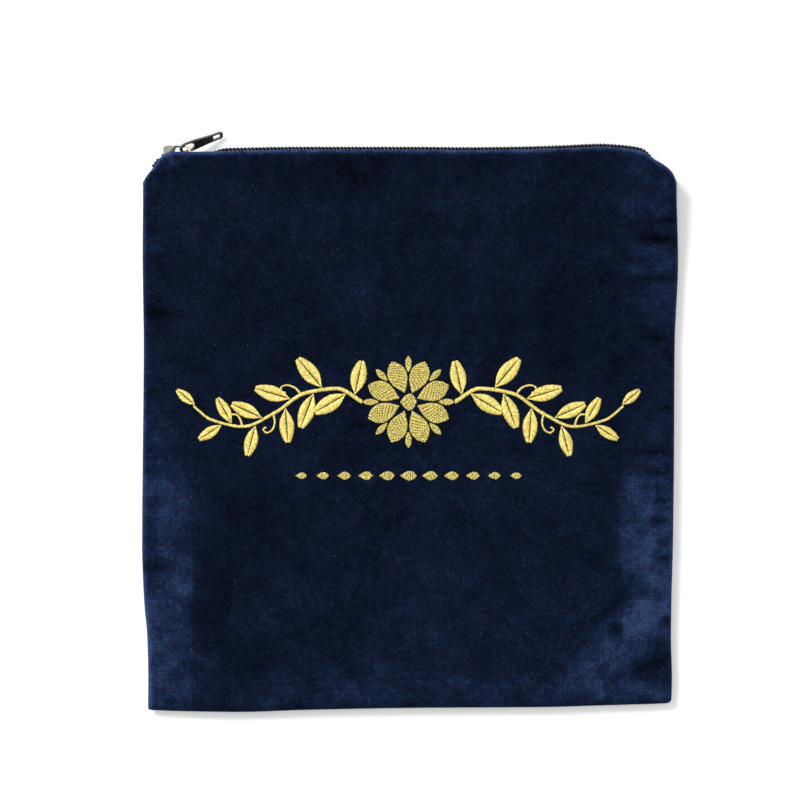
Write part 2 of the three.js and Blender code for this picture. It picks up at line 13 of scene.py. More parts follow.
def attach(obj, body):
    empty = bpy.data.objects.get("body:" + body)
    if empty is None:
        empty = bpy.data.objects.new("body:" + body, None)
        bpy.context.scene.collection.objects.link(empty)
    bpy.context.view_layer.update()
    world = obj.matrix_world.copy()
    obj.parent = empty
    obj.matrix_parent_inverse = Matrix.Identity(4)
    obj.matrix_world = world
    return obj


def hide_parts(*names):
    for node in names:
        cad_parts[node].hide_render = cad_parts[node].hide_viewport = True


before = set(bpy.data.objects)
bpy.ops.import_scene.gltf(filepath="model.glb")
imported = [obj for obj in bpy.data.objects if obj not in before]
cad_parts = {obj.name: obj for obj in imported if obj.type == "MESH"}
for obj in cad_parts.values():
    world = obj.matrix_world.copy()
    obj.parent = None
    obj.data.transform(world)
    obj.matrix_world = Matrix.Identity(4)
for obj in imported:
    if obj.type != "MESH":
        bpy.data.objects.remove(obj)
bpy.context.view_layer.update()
MM = 0.001

# Sizes of the cloth, as the frame has them
GAP = 0.3
BAG_WIDTH = 240.4
BAG_HEIGHT = 252.6
WALL = 1.5
BODY_THICKNESS = 10.8
BOTTOM_THICKNESS = 9.4
SEAM_HEIGHT = 3.6
SETTLE_LENGTH = 84
ROLL_SHARE = 0.5
FRONT_ROLL = 3.4
FRONT_SLOPE = 34
BACK_ROLL = 7
MOUTH_FADE = 46
MOUTH_THICKNESS = 12.6
SIDE_PULL = 3
BOTTOM_SLANT = 4
CORNER_DROP = 16
LEFT_CORNER = 13
RIGHT_CORNER = 20
MOUTH_WAVE = 1
LEFT_ROUND = 1.2
RIGHT_ROUND = 1.8
FOLD_DEPTH = 1.6
MOUTH_CALM = 0.6
PLAN_ROUNDS = 6
HALF_WIDTH = BAG_WIDTH / 2
TOP_Y = BAG_HEIGHT / 2
BOTTOM_Y = -BAG_HEIGHT / 2

# Sizes of the zipper
TOOTH_PITCH = 1.66
COIL_HEIGHT = 1.9
COIL_HALF_WIDTH = 2.5
COIL_OVERLAP = 0.62
COIL_WIRE = 0.36
TAPE_THICKNESS = 0.6
TAPE_HEM = 12
HEM_INSET = 8
COIL_STAND = 1.05
TUCK_DEPTH = 2.7
TUCK_LENGTH = 6
TUCK_INSET = 8.5
CHAIN_CLIMB = 16
CORNER_STAND = 0.9
CORNER_BEND = 0.7
CHAIN_LEFT_INSET = 4.8
CHAIN_RIGHT_INSET = 4.6
FLANGE = 0.8
NECK_HALF_WIDTH = 0.65
NECK_LENGTH = 2.4
NECK_INSET = 0.8
SLIDER_LENGTH = 13.5
SLIDER_X = -HALF_WIDTH + 15.4
SLIDER_Y = TOP_Y - 4.35
CHAIN_Z = MOUTH_THICKNESS / 2
TAPE_UNDER = COIL_HEIGHT / 2 + GAP
TAPE_SIDE = COIL_HALF_WIDTH + GAP + FLANGE + GAP

# The photograph's scale and framing
PICTURE_PX = 800
PX_PER_MM = 2.22
CENTRE_PX = (409.75, 430.4)
CAMERA_DISTANCE = 1.5
CAMERA_PX_PER_MM = 2.229
CAMERA_CENTRE_PX = (410.2, 430.95)
SENSOR_MM = 36

# Tables of the outline: shares up or across, and shares of the named sizes
SIDE_ROWS = {
    "up": [0.0, 0.06, 0.13, 0.2, 0.3, 0.45, 0.65, 0.8, 0.91, 1.0],
    "left": [0.78, 0.83, 0.7, 0.2, -0.1, 0.0, 0.15, 0.0, 0.1, 0.15],
    "right": [1.0, 0.85, 1.0, 0.93, 0.7, 0.55, 0.45, -0.05, 0.2, 0.28],
}
BOTTOM_ROWS = {
    "across": [0.0, 0.08, 0.18, 0.3, 0.5, 0.75, 0.85, 0.97, 1.0],
    "rise": [0.25, 0.08, 0.0, 0.22, 0.45, 0.55, 0.72, 0.95, 1.08],
}
LEFT_CORNER_ROWS = {
    "inward": [0.0, 0.14, 0.23, 0.315, 0.415, 0.555, 0.66, 0.79, 0.89, 1.0],
    "drop": [1.0, 0.84, 0.74, 0.655, 0.57, 0.39, 0.27, 0.155, 0.11, 0.0875],
}
RIGHT_CORNER_ROWS = {
    "inward": [0.0, 0.09, 0.12, 0.165, 0.235, 0.395, 0.535, 0.665, 0.82, 1.0],
    "drop": [1.0, 0.9, 0.77, 0.655, 0.575, 0.41, 0.325, 0.21, 0.075, 0.02],
}
MOUTH_ROWS = {
    "across": [0.0, 0.06, 0.15, 0.28, 0.54, 0.63, 0.76, 0.84, 0.93, 0.97, 1.0],
    "lift": [-1.4, -1.35, -0.97, -0.55, -0.58, -0.75, -0.45, 0.05, 0.8, 0.35, -0.32],
}

# Broad folds of the front wall: middle as shares across and up, half length and half breadth as shares
# of the height, depth as a share of FOLD_DEPTH, turn of the length from +X in degrees
FOLD_ROWS = [
    (0.965, 0.84, 0.05, 0.016, 0.7, 4),
    (0.955, 0.665, 0.06, 0.022, 0.8, -3),
    (0.965, 0.46, 0.055, 0.016, 0.6, 3),
    (0.965, 0.34, 0.05, 0.018, 0.6, -4),
    (0.875, 0.185, 0.1, 0.02, 0.9, 41),
    (0.93, 0.066, 0.11, 0.022, 1.0, 43),
    (0.026, 0.855, 0.04, 0.02, 0.5, 0),
    (0.04, 0.705, 0.06, 0.03, 0.6, 2),
    (0.5, 0.97, 0.5, 0.012, -0.12, 0),
]

# Fine puckers drawn in by the seams: middle in photograph pixels, half length and half breadth in
# millimetres, depth in millimetres, turn of the length from +X in degrees
PUCKER_ROWS = [
    (665, 221, 5.5, 1.5, 0.65, 4),
    (657, 240, 9.0, 1.9, 0.75, -3),
    (652, 279, 10.0, 1.7, 0.65, 2),
    (655, 338, 8.0, 1.5, 0.35, -4),
    (664, 408, 4.5, 1.3, 0.5, 3),
    (657, 452, 7.5, 1.6, 0.6, -2),
    (655, 472, 6.0, 1.3, 0.5, 3),
    (660, 500, 4.5, 1.2, 0.45, 0),
    (657, 520, 5.0, 1.8, 0.6, 5),
    (663, 557, 4.5, 1.9, 0.6, 8),
    (663, 619, 3.0, 1.8, 0.55, 30),
    (616, 630, 3.0, 4.0, 0.5, 20),
    (607, 609, 9.0, 2.0, 0.45, 38),
    (655, 661, 6.0, 1.8, 0.35, 30),
    (158, 230, 6.0, 1.8, 0.45, 0),
    (162, 314, 8.0, 3.0, 0.45, -6),
    (152, 392, 4.0, 1.8, 0.3, 4),
    (155, 470, 5.0, 2.2, 0.3, -5),
    (158, 566, 6.0, 2.4, 0.35, 8),
    (300, 700, 2.0, 5.0, 0.3, 0),
    (520, 696, 2.4, 5.0, 0.35, 20),
    (430, 702, 2.0, 4.0, 0.25, -10),
]

# Patches where the pile is brushed, with painted sheen along the mouth's edge and painted shade on the
# lower-right folds and a pucker: middle in photograph pixels, half width and half height in millimetres,
# turn in degrees, and how much lighter (or, below zero, darker) the patch is
BRUSH_SHEEN_SHADE_ROWS = [
    (668, 240, 13, 22, 6, 0.13),
    (652, 212, 9, 5, -8, 0.12),
    (640, 208, 6, 4, 0, 0.1),
    (663, 300, 16, 16, 0, 0.1),
    (630, 246, 8, 3, -2, 0.09),
    (660, 262, 12, 4, -3, 0.08),
    (666, 370, 11, 26, 0, 0.11),
    (638, 380, 9, 16, 14, 0.05),
    (660, 440, 13, 14, 0, 0.14),
    (655, 500, 17, 20, 0, 0.2),
    (658, 545, 18, 16, 0, 0.27),
    (652, 602, 15, 18, -30, 0.44),
    (618, 634, 22, 12, 42, 0.26),
    (604, 664, 15, 13, 40, 0.22),
    (566, 676, 24, 11, 10, 0.08),
    (650, 690, 24, 7, 0, 0.3),
    (300, 690, 26, 9, 0, 0.05),
    (520, 690, 28, 9, 0, 0.08),
    (655, 308, 14, 10, 0, 0.1),
    (655, 262, 13, 9, 0, 0.1),
    (300, 172, 60, 9, 0, -0.07),
    (200, 182, 22, 9, 0, -0.07),
    (400, 172, 50, 8, 0, -0.06),
    (600, 182, 24, 9, 0, -0.07),
    (165, 262, 12, 12, 0, -0.09),
    (160, 640, 17, 36, 0, 0.24),
    (148, 690, 7, 40, 0, 0.14),
    (178, 580, 9, 24, 3, 0.19),
    (163, 500, 12, 22, 0, 0.17),
    (152, 420, 9, 30, 0, 0.1),
    (186, 676, 14, 12, -6, 0.08),
    (300, 692, 60, 10, 0, 0.11),
    (430, 690, 70, 10, 0, 0.11),
    (450, 650, 60, 16, 8, 0.09),
    (405, 560, 34, 14, -14, 0.06),
    (330, 590, 18, 9, 24, 0.05),
    (250, 610, 20, 12, -30, 0.05),
    (520, 600, 26, 12, 18, 0.05),
    (205, 190, 20, 12, 18, 0.08),
    (470, 200, 24, 9, -12, 0.06),
    (330, 215, 20, 8, 10, 0.04),
    (150, 230, 8, 26, 0, 0.08),
    (636, 178, 18, 9, 24, 0.12),
    (660, 186, 10, 8, 45, 0.12),
    # painted sheen along the mouth's folded edge
    (164, 160, 6, 2.4, 50, 0.24),
    (186, 155, 13, 1.8, 4, 0.2),
    (300, 153, 36, 1.4, 0, 0.1),
    # painted shade along the two lower-right folds
    (632, 600, 15, 7, 41, -0.26),
    (640, 669, 14, 4.5, 28, -0.1),
    (620, 250, 8, 2.4, 0, 0.12),
    (652, 271, 12, 3, 0, 0.07),
    (624, 202, 6, 6, 0, 0.08),
    # painted shade in a pucker
    (616, 630, 5, 5, 20, -0.22),
    (560, 310, 46, 34, 10, -0.05),
    (250, 320, 40, 34, -8, -0.05),
]

# Bands where the seam allowance inside presses the pile: left, right, top and bottom in photograph
# pixels, length in millimetres over which top and bottom fade, and the lift of the pile
BAND_ROWS = [
    (617, 654, 478, 582, 9, 0.13),
    (618, 690, 262, 330, 7, 0.04),
    (620, 690, 425, 640, 9, 0.04),
    (130, 192, 490, 715, 10, 0.03),
    (193, 232, 540, 712, 9, -0.07),
]

# How much painted sheen lightens the pile along the rim of the cloth, and how broad that line is in
# millimetres
RIM_PAINTED_SHEEN = {"left": 0.44, "right": 0.26, "bottom": 0.05, "mouth": 0.62}
RIM_BREADTH = 1.4
# How much painted shade darkens the pile in the pucker hollows
PUCKER_SHADE = 0.50
BAND_STRAY = 0.12
BAND_EDGE = 0.5
NAP_SHEEN_SHADE_LIMITS = (-0.5, 1)


def smoothstep(value, low, high):
    t = np.clip((value - low) / (high - low), 0, 1)
    return t * t * (3 - 2 * t)


def within(value, low, high, soft):
    """1 between two limits and 0 outside them, with soft ends."""
    return smoothstep(value, low - soft, low + soft) * (1 - smoothstep(value, high - soft, high + soft))


def mix(a, b, t):
    return a + (b - a) * t


def along(rows, key, column, at):
    """A table's column at a place, on a smooth curve that never overshoots its rows."""
    keys = np.array(rows[key], float)
    values = np.array(rows[column], float)
    secants = np.diff(values) / np.diff(keys)
    before, after = secants[:-1], secants[1:]
    agree = before * after > 0
    inner = np.where(agree, 2 * before * after / np.where(agree, before + after, 1), 0)
    tangents = np.concatenate([[secants[0]], inner, [secants[-1]]])
    at = np.clip(at, keys[0], keys[-1])
    low = np.clip(np.searchsorted(keys, at, side="right") - 1, 0, len(keys) - 2)
    span = keys[low + 1] - keys[low]
    t = (at - keys[low]) / span
    keep_low = (1 + 2 * t) * (1 - t) ** 2
    return (
        values[low] * keep_low
        + values[low + 1] * (1 - keep_low)
        + span * (tangents[low] * t * (1 - t) ** 2 + tangents[low + 1] * t * t * (t - 1))
    )


def round_turn(t):
    rest = 1 - np.clip(t, 0, 1)
    return np.sqrt(1 - rest * rest)


def left_edge(y):
    return -HALF_WIDTH + SIDE_PULL * along(SIDE_ROWS, "up", "left", (y - BOTTOM_Y) / BAG_HEIGHT)


def right_edge(y):
    return HALF_WIDTH - SIDE_PULL * along(SIDE_ROWS, "up", "right", (y - BOTTOM_Y) / BAG_HEIGHT)


def bottom_edge(x):
    return BOTTOM_Y + BOTTOM_SLANT * along(BOTTOM_ROWS, "across", "rise", (x + HALF_WIDTH) / BAG_WIDTH)


def mouth_edge(x):
    x = np.asarray(x, float)
    from_left = x + HALF_WIDTH
    from_right = HALF_WIDTH - x
    left = TOP_Y - CORNER_DROP * along(LEFT_CORNER_ROWS, "inward", "drop", from_left / LEFT_CORNER)
    right = TOP_Y - CORNER_DROP * along(RIGHT_CORNER_ROWS, "inward", "drop", from_right / RIGHT_CORNER)
    across = (from_left - LEFT_CORNER) / (BAG_WIDTH - LEFT_CORNER - RIGHT_CORNER)
    middle = TOP_Y + MOUTH_WAVE * along(MOUTH_ROWS, "across", "lift", across)
    return np.where(from_left < LEFT_CORNER, left, np.where(from_right < RIGHT_CORNER, right, middle))


def near_mouth(y):
    return smoothstep(y, TOP_Y - CORNER_DROP - MOUTH_FADE, TOP_Y - CORNER_DROP)


def seam_at(y):
    return mix(SEAM_HEIGHT, CHAIN_Z, near_mouth(y))


def round_corner(from_side, from_bottom, radius):
    """How far a place near a square corner moves in from both edges when the corner is rounded."""
    u = np.clip(1 - from_side / radius, 0, 1)
    v = np.clip(1 - from_bottom / radius, 0, 1)
    return radius * u * (1 - np.sqrt(1 - v * v / 2)), radius * v * (1 - np.sqrt(1 - u * u / 2))


def plan_grid(across, up, inset, mouth_inset=0.0):
    """The plan of a wall: shares across and up become places, with the distances to the seams."""
    corner_left = mouth_edge(left_edge(TOP_Y) + inset)
    corner_right = mouth_edge(right_edge(TOP_Y) - inset)
    y = np.zeros_like(across)
    for _ in range(PLAN_ROUNDS):
        x = mix(left_edge(y) + inset, right_edge(y) - inset, across)
        y = mix(bottom_edge(x) + inset, mouth_edge(x) - mouth_inset, up)
    beside_left = x - left_edge(y) - inset
    beside_right = right_edge(y) - inset - x
    from_bottom = y - bottom_edge(x) - inset
    from_left = np.hypot(beside_left, np.maximum(0, y - corner_left))
    from_right = np.hypot(beside_right, np.maximum(0, y - corner_right))
    right_in, right_up = round_corner(beside_right, from_bottom, max(RIGHT_ROUND - inset, GAP))
    left_in, left_up = round_corner(beside_left, from_bottom, max(LEFT_ROUND - inset, GAP))
    return x + left_in - right_in, y + left_up + right_up, np.minimum(from_left, from_right), from_bottom


def hollows(x, y, rows, unit):
    """Sum of oval hollows; rows are middle x and y, half length, half breadth, depth and turn."""
    depth = np.zeros_like(x)
    for middle_x, middle_y, long, broad, deep, turn in rows:
        c, s = math.cos(math.radians(turn)), math.sin(math.radians(turn))
        right, upward = x - middle_x, y - middle_y
        lengthways = (right * c + upward * s) / (long * unit)
        crossways = (upward * c - right * s) / (broad * unit)
        depth += deep * np.exp(-lengthways ** 2 - crossways ** 2)
    return depth


def from_px(px, py):
    """A photograph pixel as a place on the bag, in millimetres."""
    return (px - CENTRE_PX[0]) / PX_PER_MM, (CENTRE_PX[1] - py) / PX_PER_MM


BROAD_FOLDS = [
    ((a - 0.5) * BAG_WIDTH, BOTTOM_Y + u * BAG_HEIGHT, long, broad, deep * FOLD_DEPTH, turn)
    for a, u, long, broad, deep, turn in FOLD_ROWS
]
PUCKERS = [(*from_px(px, py), *rest) for px, py, *rest in PUCKER_ROWS]


def unevenness(x, y):
    """The cloth's own long, low waves: height, radians per millimetre along x and y, phase."""
    waves = (
        (0.12, 0.031, 0.024, 0.6),
        (0.10, -0.047, 0.052, 2.1),
        (0.07, 0.090, -0.033, 4.0),
        (0.05, 0.061, 0.118, 1.2),
        (0.04, -0.150, 0.083, 3.3),
    )
    return sum(a * np.sin(fx * x + fy * y + phase) for a, fx, fy, phase in waves)


def front_grid(across, up, inset, mouth_inset=0.0):
    x, y, from_side, from_bottom = plan_grid(across, up, inset, mouth_inset)
    mouth = near_mouth(y)
    body = mix(BOTTOM_THICKNESS, BODY_THICKNESS, smoothstep(y, BOTTOM_Y, BOTTOM_Y + SETTLE_LENGTH))
    top = mix(body, MOUTH_THICKNESS, mouth) - inset
    turned = mix(ROLL_SHARE, 1, mouth)

    def climb(distance):
        slope = np.sin(math.pi / 2 * np.clip(distance / FRONT_SLOPE, 0, 1))
        return turned * round_turn(distance / FRONT_ROLL) + (1 - turned) * slope

    seam = seam_at(y) + GAP / 2
    level = climb(from_side) * climb(from_bottom)
    fold = hollows(x, y, BROAD_FOLDS, BAG_HEIGHT) * round_turn(from_side / FRONT_ROLL) * (1 - mouth)
    z = mix(seam, top - fold, level)
    held = round_turn(from_side / FRONT_ROLL) * round_turn(from_bottom / FRONT_ROLL)
    z += held * (1 - MOUTH_CALM * mouth) * (unevenness(x, y) - hollows(x, y, PUCKERS, 1.0))
    return np.stack([x, y, z], axis=-1)


def back_grid(across, up, inset, mouth_inset=0.0):
    x, y, from_side, from_bottom = plan_grid(across, up, inset, mouth_inset)
    flat = round_turn(from_side / BACK_ROLL) * round_turn(from_bottom / BACK_ROLL)
    z = mix(seam_at(y) - GAP / 2, inset, flat)
    return np.stack([x, y, z], axis=-1)


def shares(length, steps, count, both_ends):
    """Shares along a side: a few steps close to each seam, then even ones."""
    start = [step / length for step in steps]
    last = 1 - steps[-1] / length if both_ends else 1.0
    middle = list(np.linspace(start[-1], last, count + 1))[1:-1]
    finish = [1 - share for share in reversed(start)] if both_ends else [1.0]
    return np.array(start + middle + finish)


def mesh_object(name, verts_mm, faces, material, smooth=True):
    mesh = bpy.data.meshes.new(name)
    mesh.from_pydata((np.asarray(verts_mm) * MM).tolist(), [], faces)
    mesh.validate()
    mesh.update()
    obj = bpy.data.objects.new(name, mesh)
    bpy.context.scene.collection.objects.link(obj)
    mesh.materials.append(material)
    mesh.polygons.foreach_set("use_smooth", [smooth] * len(mesh.polygons))
    return obj


def grid_faces(rows, columns, start, flip):
    faces = []
    for j in range(rows - 1):
        for i in range(columns - 1):
            a = start + j * columns + i
            face = (a, a + 1, a + 1 + columns, a + columns)
            faces.append(face[::-1] if flip else face)
    return faces


def strip_faces(first, second, flip):
    first, second = first.tolist(), second.tolist()
    faces = [(first[i], first[i + 1], second[i + 1], second[i]) for i in range(len(first) - 1)]
    return [face[::-1] for face in faces] if flip else faces


RIM_STEPS = 7


def cloth_wall(name, grid, across_shares, up_shares, faces_up, material, shift=None):
    """A velvet wall: outer and inner surfaces on one grid, a rounded rim at the mouth, flat seam edges."""
    across, up = np.meshgrid(across_shares, up_shares)
    rows, columns = across.shape
    round_radius = WALL / 2
    outer = grid(across, up, 0.0, round_radius)
    inner = grid(across, up, WALL, round_radius)
    if shift is not None:
        settled = spread_over(shift, across, up)
        outer = outer + settled
        inner = inner + settled
    tangent = np.gradient(outer[-1], axis=0)
    out = np.stack([-tangent[:, 1], tangent[:, 0], np.zeros(columns)], axis=-1)
    out /= np.linalg.norm(out, axis=1, keepdims=True)
    middle = (outer[-1] + inner[-1]) / 2
    half = (outer[-1] - inner[-1]) / 2
    rim = [
        middle + half * math.cos(angle) + out * round_radius * math.sin(angle)
        for angle in np.linspace(0, math.pi, RIM_STEPS + 2)[1:-1]
    ]
    verts = np.concatenate([outer.reshape(-1, 3), inner.reshape(-1, 3), np.concatenate(rim)])
    count = rows * columns
    index = np.arange(count).reshape(rows, columns)
    faces = grid_faces(rows, columns, 0, not faces_up) + grid_faces(rows, columns, count, faces_up)
    rings = [index[-1]]
    rings += [2 * count + k * columns + np.arange(columns) for k in range(RIM_STEPS)]
    rings += [index[-1] + count]
    for first, second in zip(rings, rings[1:]):
        faces += strip_faces(first, second, not faces_up)
    faces += strip_faces(index[0] + count, index[0], not faces_up)
    faces += strip_faces(index[:, 0], index[:, 0] + count, not faces_up)
    faces += strip_faces(index[:, -1] + count, index[:, -1], not faces_up)
    for side, turned in ((0, faces_up), (columns - 1, not faces_up)):
        loop = [int(ring[side]) for ring in rings]
        faces.append(tuple(loop[::-1] if turned else loop))
    return mesh_object(name, verts, faces, material)


def lay_pile_sheen_and_shade(obj):
    """Stores how the pile lies at each vertex, with painted sheen and shade: below 0 it is dark, where the
    pile is smoothed down and where shade is painted into puckers and folds; above 0 it is light, where the
    pile is brushed up and where sheen is painted along the rims.
    """
    mesh = obj.data
    place = np.empty(len(mesh.vertices) * 3)
    mesh.vertices.foreach_get("co", place)
    x, y = place[0::3] / MM, place[1::3] / MM
    # the patches' edges wander by a few millimetres
    wander_x = 2.6 * np.sin(0.21 * y + 1.1 * np.sin(0.13 * x)) + 1.5 * np.sin(0.47 * y + 0.31 * x)
    wander_y = 2.2 * np.sin(0.24 * x + 1.3 * np.sin(0.11 * y)) + 1.4 * np.sin(0.43 * x - 0.29 * y)
    nap_sheen_and_shade = np.zeros_like(x)
    for px, py, wide, tall, turn, lift in BRUSH_SHEEN_SHADE_ROWS:
        row = [(*from_px(px, py), wide, tall, 1.0, turn)]
        nap_sheen_and_shade += lift * hollows(x + wander_x, y + wander_y, row, 1.0)
    for left, right, top, bottom, fade, lift in BAND_ROWS:
        (x0, y1), (x1, y0) = from_px(left, top), from_px(right, bottom)
        beside = x + BAND_STRAY * wander_x
        nap_sheen_and_shade += lift * within(beside, x0, x1, BAND_EDGE) * within(y, y0, y1, fade)
    # painted shade in the pucker hollows
    nap_sheen_and_shade -= PUCKER_SHADE * hollows(x, y, PUCKERS, 1.0)
    edges = {
        "left": x - left_edge(y),
        "right": right_edge(y) - x,
        "bottom": y - bottom_edge(x),
        "mouth": mouth_edge(x) - y,
    }
    # painted sheen along the rims of the cloth
    for edge, distance in edges.items():
        nap_sheen_and_shade += RIM_PAINTED_SHEEN[edge] * np.exp(-(distance / RIM_BREADTH) ** 2)
    attribute = mesh.attributes.new("nap_sheen_and_shade", "FLOAT", "POINT")
    attribute.data.foreach_set("value", np.clip(nap_sheen_and_shade, *NAP_SHEEN_SHADE_LIMITS))


# Cloth simulation: the walls are sewn at the seams, a little too large for them, and puff out slightly
SIM_COLUMNS = 92
SIM_ROWS = 96
SIM_FRAMES = 16
SIM_GROWTH = 0.012
SIM_CAP = 0.7


def sewn_wrinkles(grid):
    """Lets a copy of the wall settle as cloth and gives how far each place of its grid has moved."""
    across, up = np.meshgrid(np.linspace(0, 1, SIM_COLUMNS), np.linspace(0, 1, SIM_ROWS))
    start = grid(across, up, 0.0)
    faces = grid_faces(SIM_ROWS, SIM_COLUMNS, 0, False)
    obj = mesh_object("settling_cloth", start.reshape(-1, 3), faces, bpy.data.materials.new("settling"))
    held = np.zeros((SIM_ROWS, SIM_COLUMNS))
    held[:2] = held[-2:] = 1
    held[:, :2] = held[:, -2:] = 1
    pins = obj.vertex_groups.new(name="seams")
    pins.add(np.flatnonzero(held).tolist(), 1.0, "REPLACE")
    cloth = obj.modifiers.new("cloth", "CLOTH")
    cloth.settings.quality = 6
    cloth.settings.mass = 0.2
    cloth.settings.tension_stiffness = 12
    cloth.settings.compression_stiffness = 12
    cloth.settings.shear_stiffness = 4
    cloth.settings.bending_stiffness = 0.6
    cloth.settings.shrink_min = -SIM_GROWTH
    cloth.settings.vertex_group_mass = "seams"
    cloth.settings.effector_weights.gravity = 0
    cloth.settings.use_pressure = True
    cloth.settings.uniform_pressure_force = 0.4
    cloth.collision_settings.use_collision = False
    cloth.point_cache.frame_start = 1
    cloth.point_cache.frame_end = SIM_FRAMES
    for step in range(1, SIM_FRAMES + 1):
        bpy.context.scene.frame_set(step)
    settled = obj.evaluated_get(bpy.context.evaluated_depsgraph_get())
    place = np.empty(len(settled.data.vertices) * 3)
    settled.data.vertices.foreach_get("co", place)
    bpy.context.scene.frame_set(1)
    bpy.data.objects.remove(obj)
    shift = place.reshape(SIM_ROWS, SIM_COLUMNS, 3) / MM - start
    shift -= shift.mean(axis=(0, 1)) * (1 - held)[..., None]
    reach = np.linalg.norm(shift, axis=-1, keepdims=True)
    return shift * SIM_CAP / (SIM_CAP + reach)


def spread_over(shift, across, up):
    """The settled cloth's movement at any shares across and up, between its grid's places."""
    # short of the last place, so that each has a next one
    column = np.clip(across * (SIM_COLUMNS - 1), 0, SIM_COLUMNS - 1.001)
    row = np.clip(up * (SIM_ROWS - 1), 0, SIM_ROWS - 1.001)
    i, j = column.astype(int), row.astype(int)
    s, t = (column - i)[..., None], (row - j)[..., None]
    low = mix(shift[j, i], shift[j, i + 1], s)
    high = mix(shift[j + 1, i], shift[j + 1, i + 1], s)
    return mix(low, high, t)


# Shader helpers
def new_material(name):
    material = bpy.data.materials.new(name)
    material.use_nodes = True
    tree = material.node_tree
    return material, tree, tree.nodes["Principled BSDF"]


def node(tree, kind, **values):
    made = tree.nodes.new(kind)
    for key, value in values.items():
        setattr(made, key, value)
    return made


def plug(tree, socket, value):
    """Gives a socket its value, or links it where that is another node's socket."""
    if isinstance(value, bpy.types.NodeSocket):
        tree.links.new(value, socket)
    else:
        socket.default_value = value


def feed(tree, made, values):
    for name, value in values.items():
        plug(tree, made.inputs[name], value)


def on_piece(tree):
    """The place on the piece, in metres."""
    return node(tree, "ShaderNodeTexCoord").outputs["Object"]


def math_node(tree, operation, *values, clamp=False):
    made = node(tree, "ShaderNodeMath", operation=operation, use_clamp=clamp)
    for socket, value in zip(made.inputs, values):
        plug(tree, socket, value)
    return made.outputs[0]


def scaled(tree, value, factor, shift=0.0):
    """factor times a value, plus shift, which may itself be a socket."""
    return math_node(tree, "MULTIPLY_ADD", value, factor, shift)


def noise(tree, vector, scale, detail=2.0, roughness=0.5):
    made = node(tree, "ShaderNodeTexNoise")
    feed(tree, made, {"Scale": scale, "Detail": detail, "Roughness": roughness, "Vector": vector})
    return made.outputs["Fac"]


def bands(tree, vector, direction, period_mm, distortion=0.0, distortion_scale=1.0):
    """Even bands along one axis, with their period in millimetres."""
    made = node(tree, "ShaderNodeTexWave", wave_type="BANDS", bands_direction=direction)
    feed(tree, made, {
        "Scale": 2 * math.pi / (20 * period_mm * MM),
        "Distortion": distortion,
        "Detail": 0.0,
        "Detail Scale": distortion_scale,
        "Vector": vector,
    })
    return made.outputs["Fac"]


def ramp(tree, factor, stops):
    made = node(tree, "ShaderNodeValToRGB")
    elements = made.color_ramp.elements
    while len(elements) < len(stops):
        elements.new(0.5)
    for element, (position, colour) in zip(elements, stops):
        element.position = position
        element.color = (*colour, 1)
    feed(tree, made, {"Fac": factor})
    return made.outputs["Color"]


def bump(tree, height, distance, strength=1.0, normal=None):
    made = node(tree, "ShaderNodeBump")
    feed(tree, made, {"Strength": strength, "Distance": distance, "Height": height})
    if normal is not None:
        feed(tree, made, {"Normal": normal})
    return made.outputs["Normal"]


# The weave's pitch across and up, and how far and how finely its threads stray
WEAVE_ACROSS_MM = 1.284
WEAVE_UP_MM = 1.08
WEAVE_STRAY_ACROSS = 4.6
WEAVE_STRAY_UP = 3.6
WEAVE_STRAY_SCALE = 160


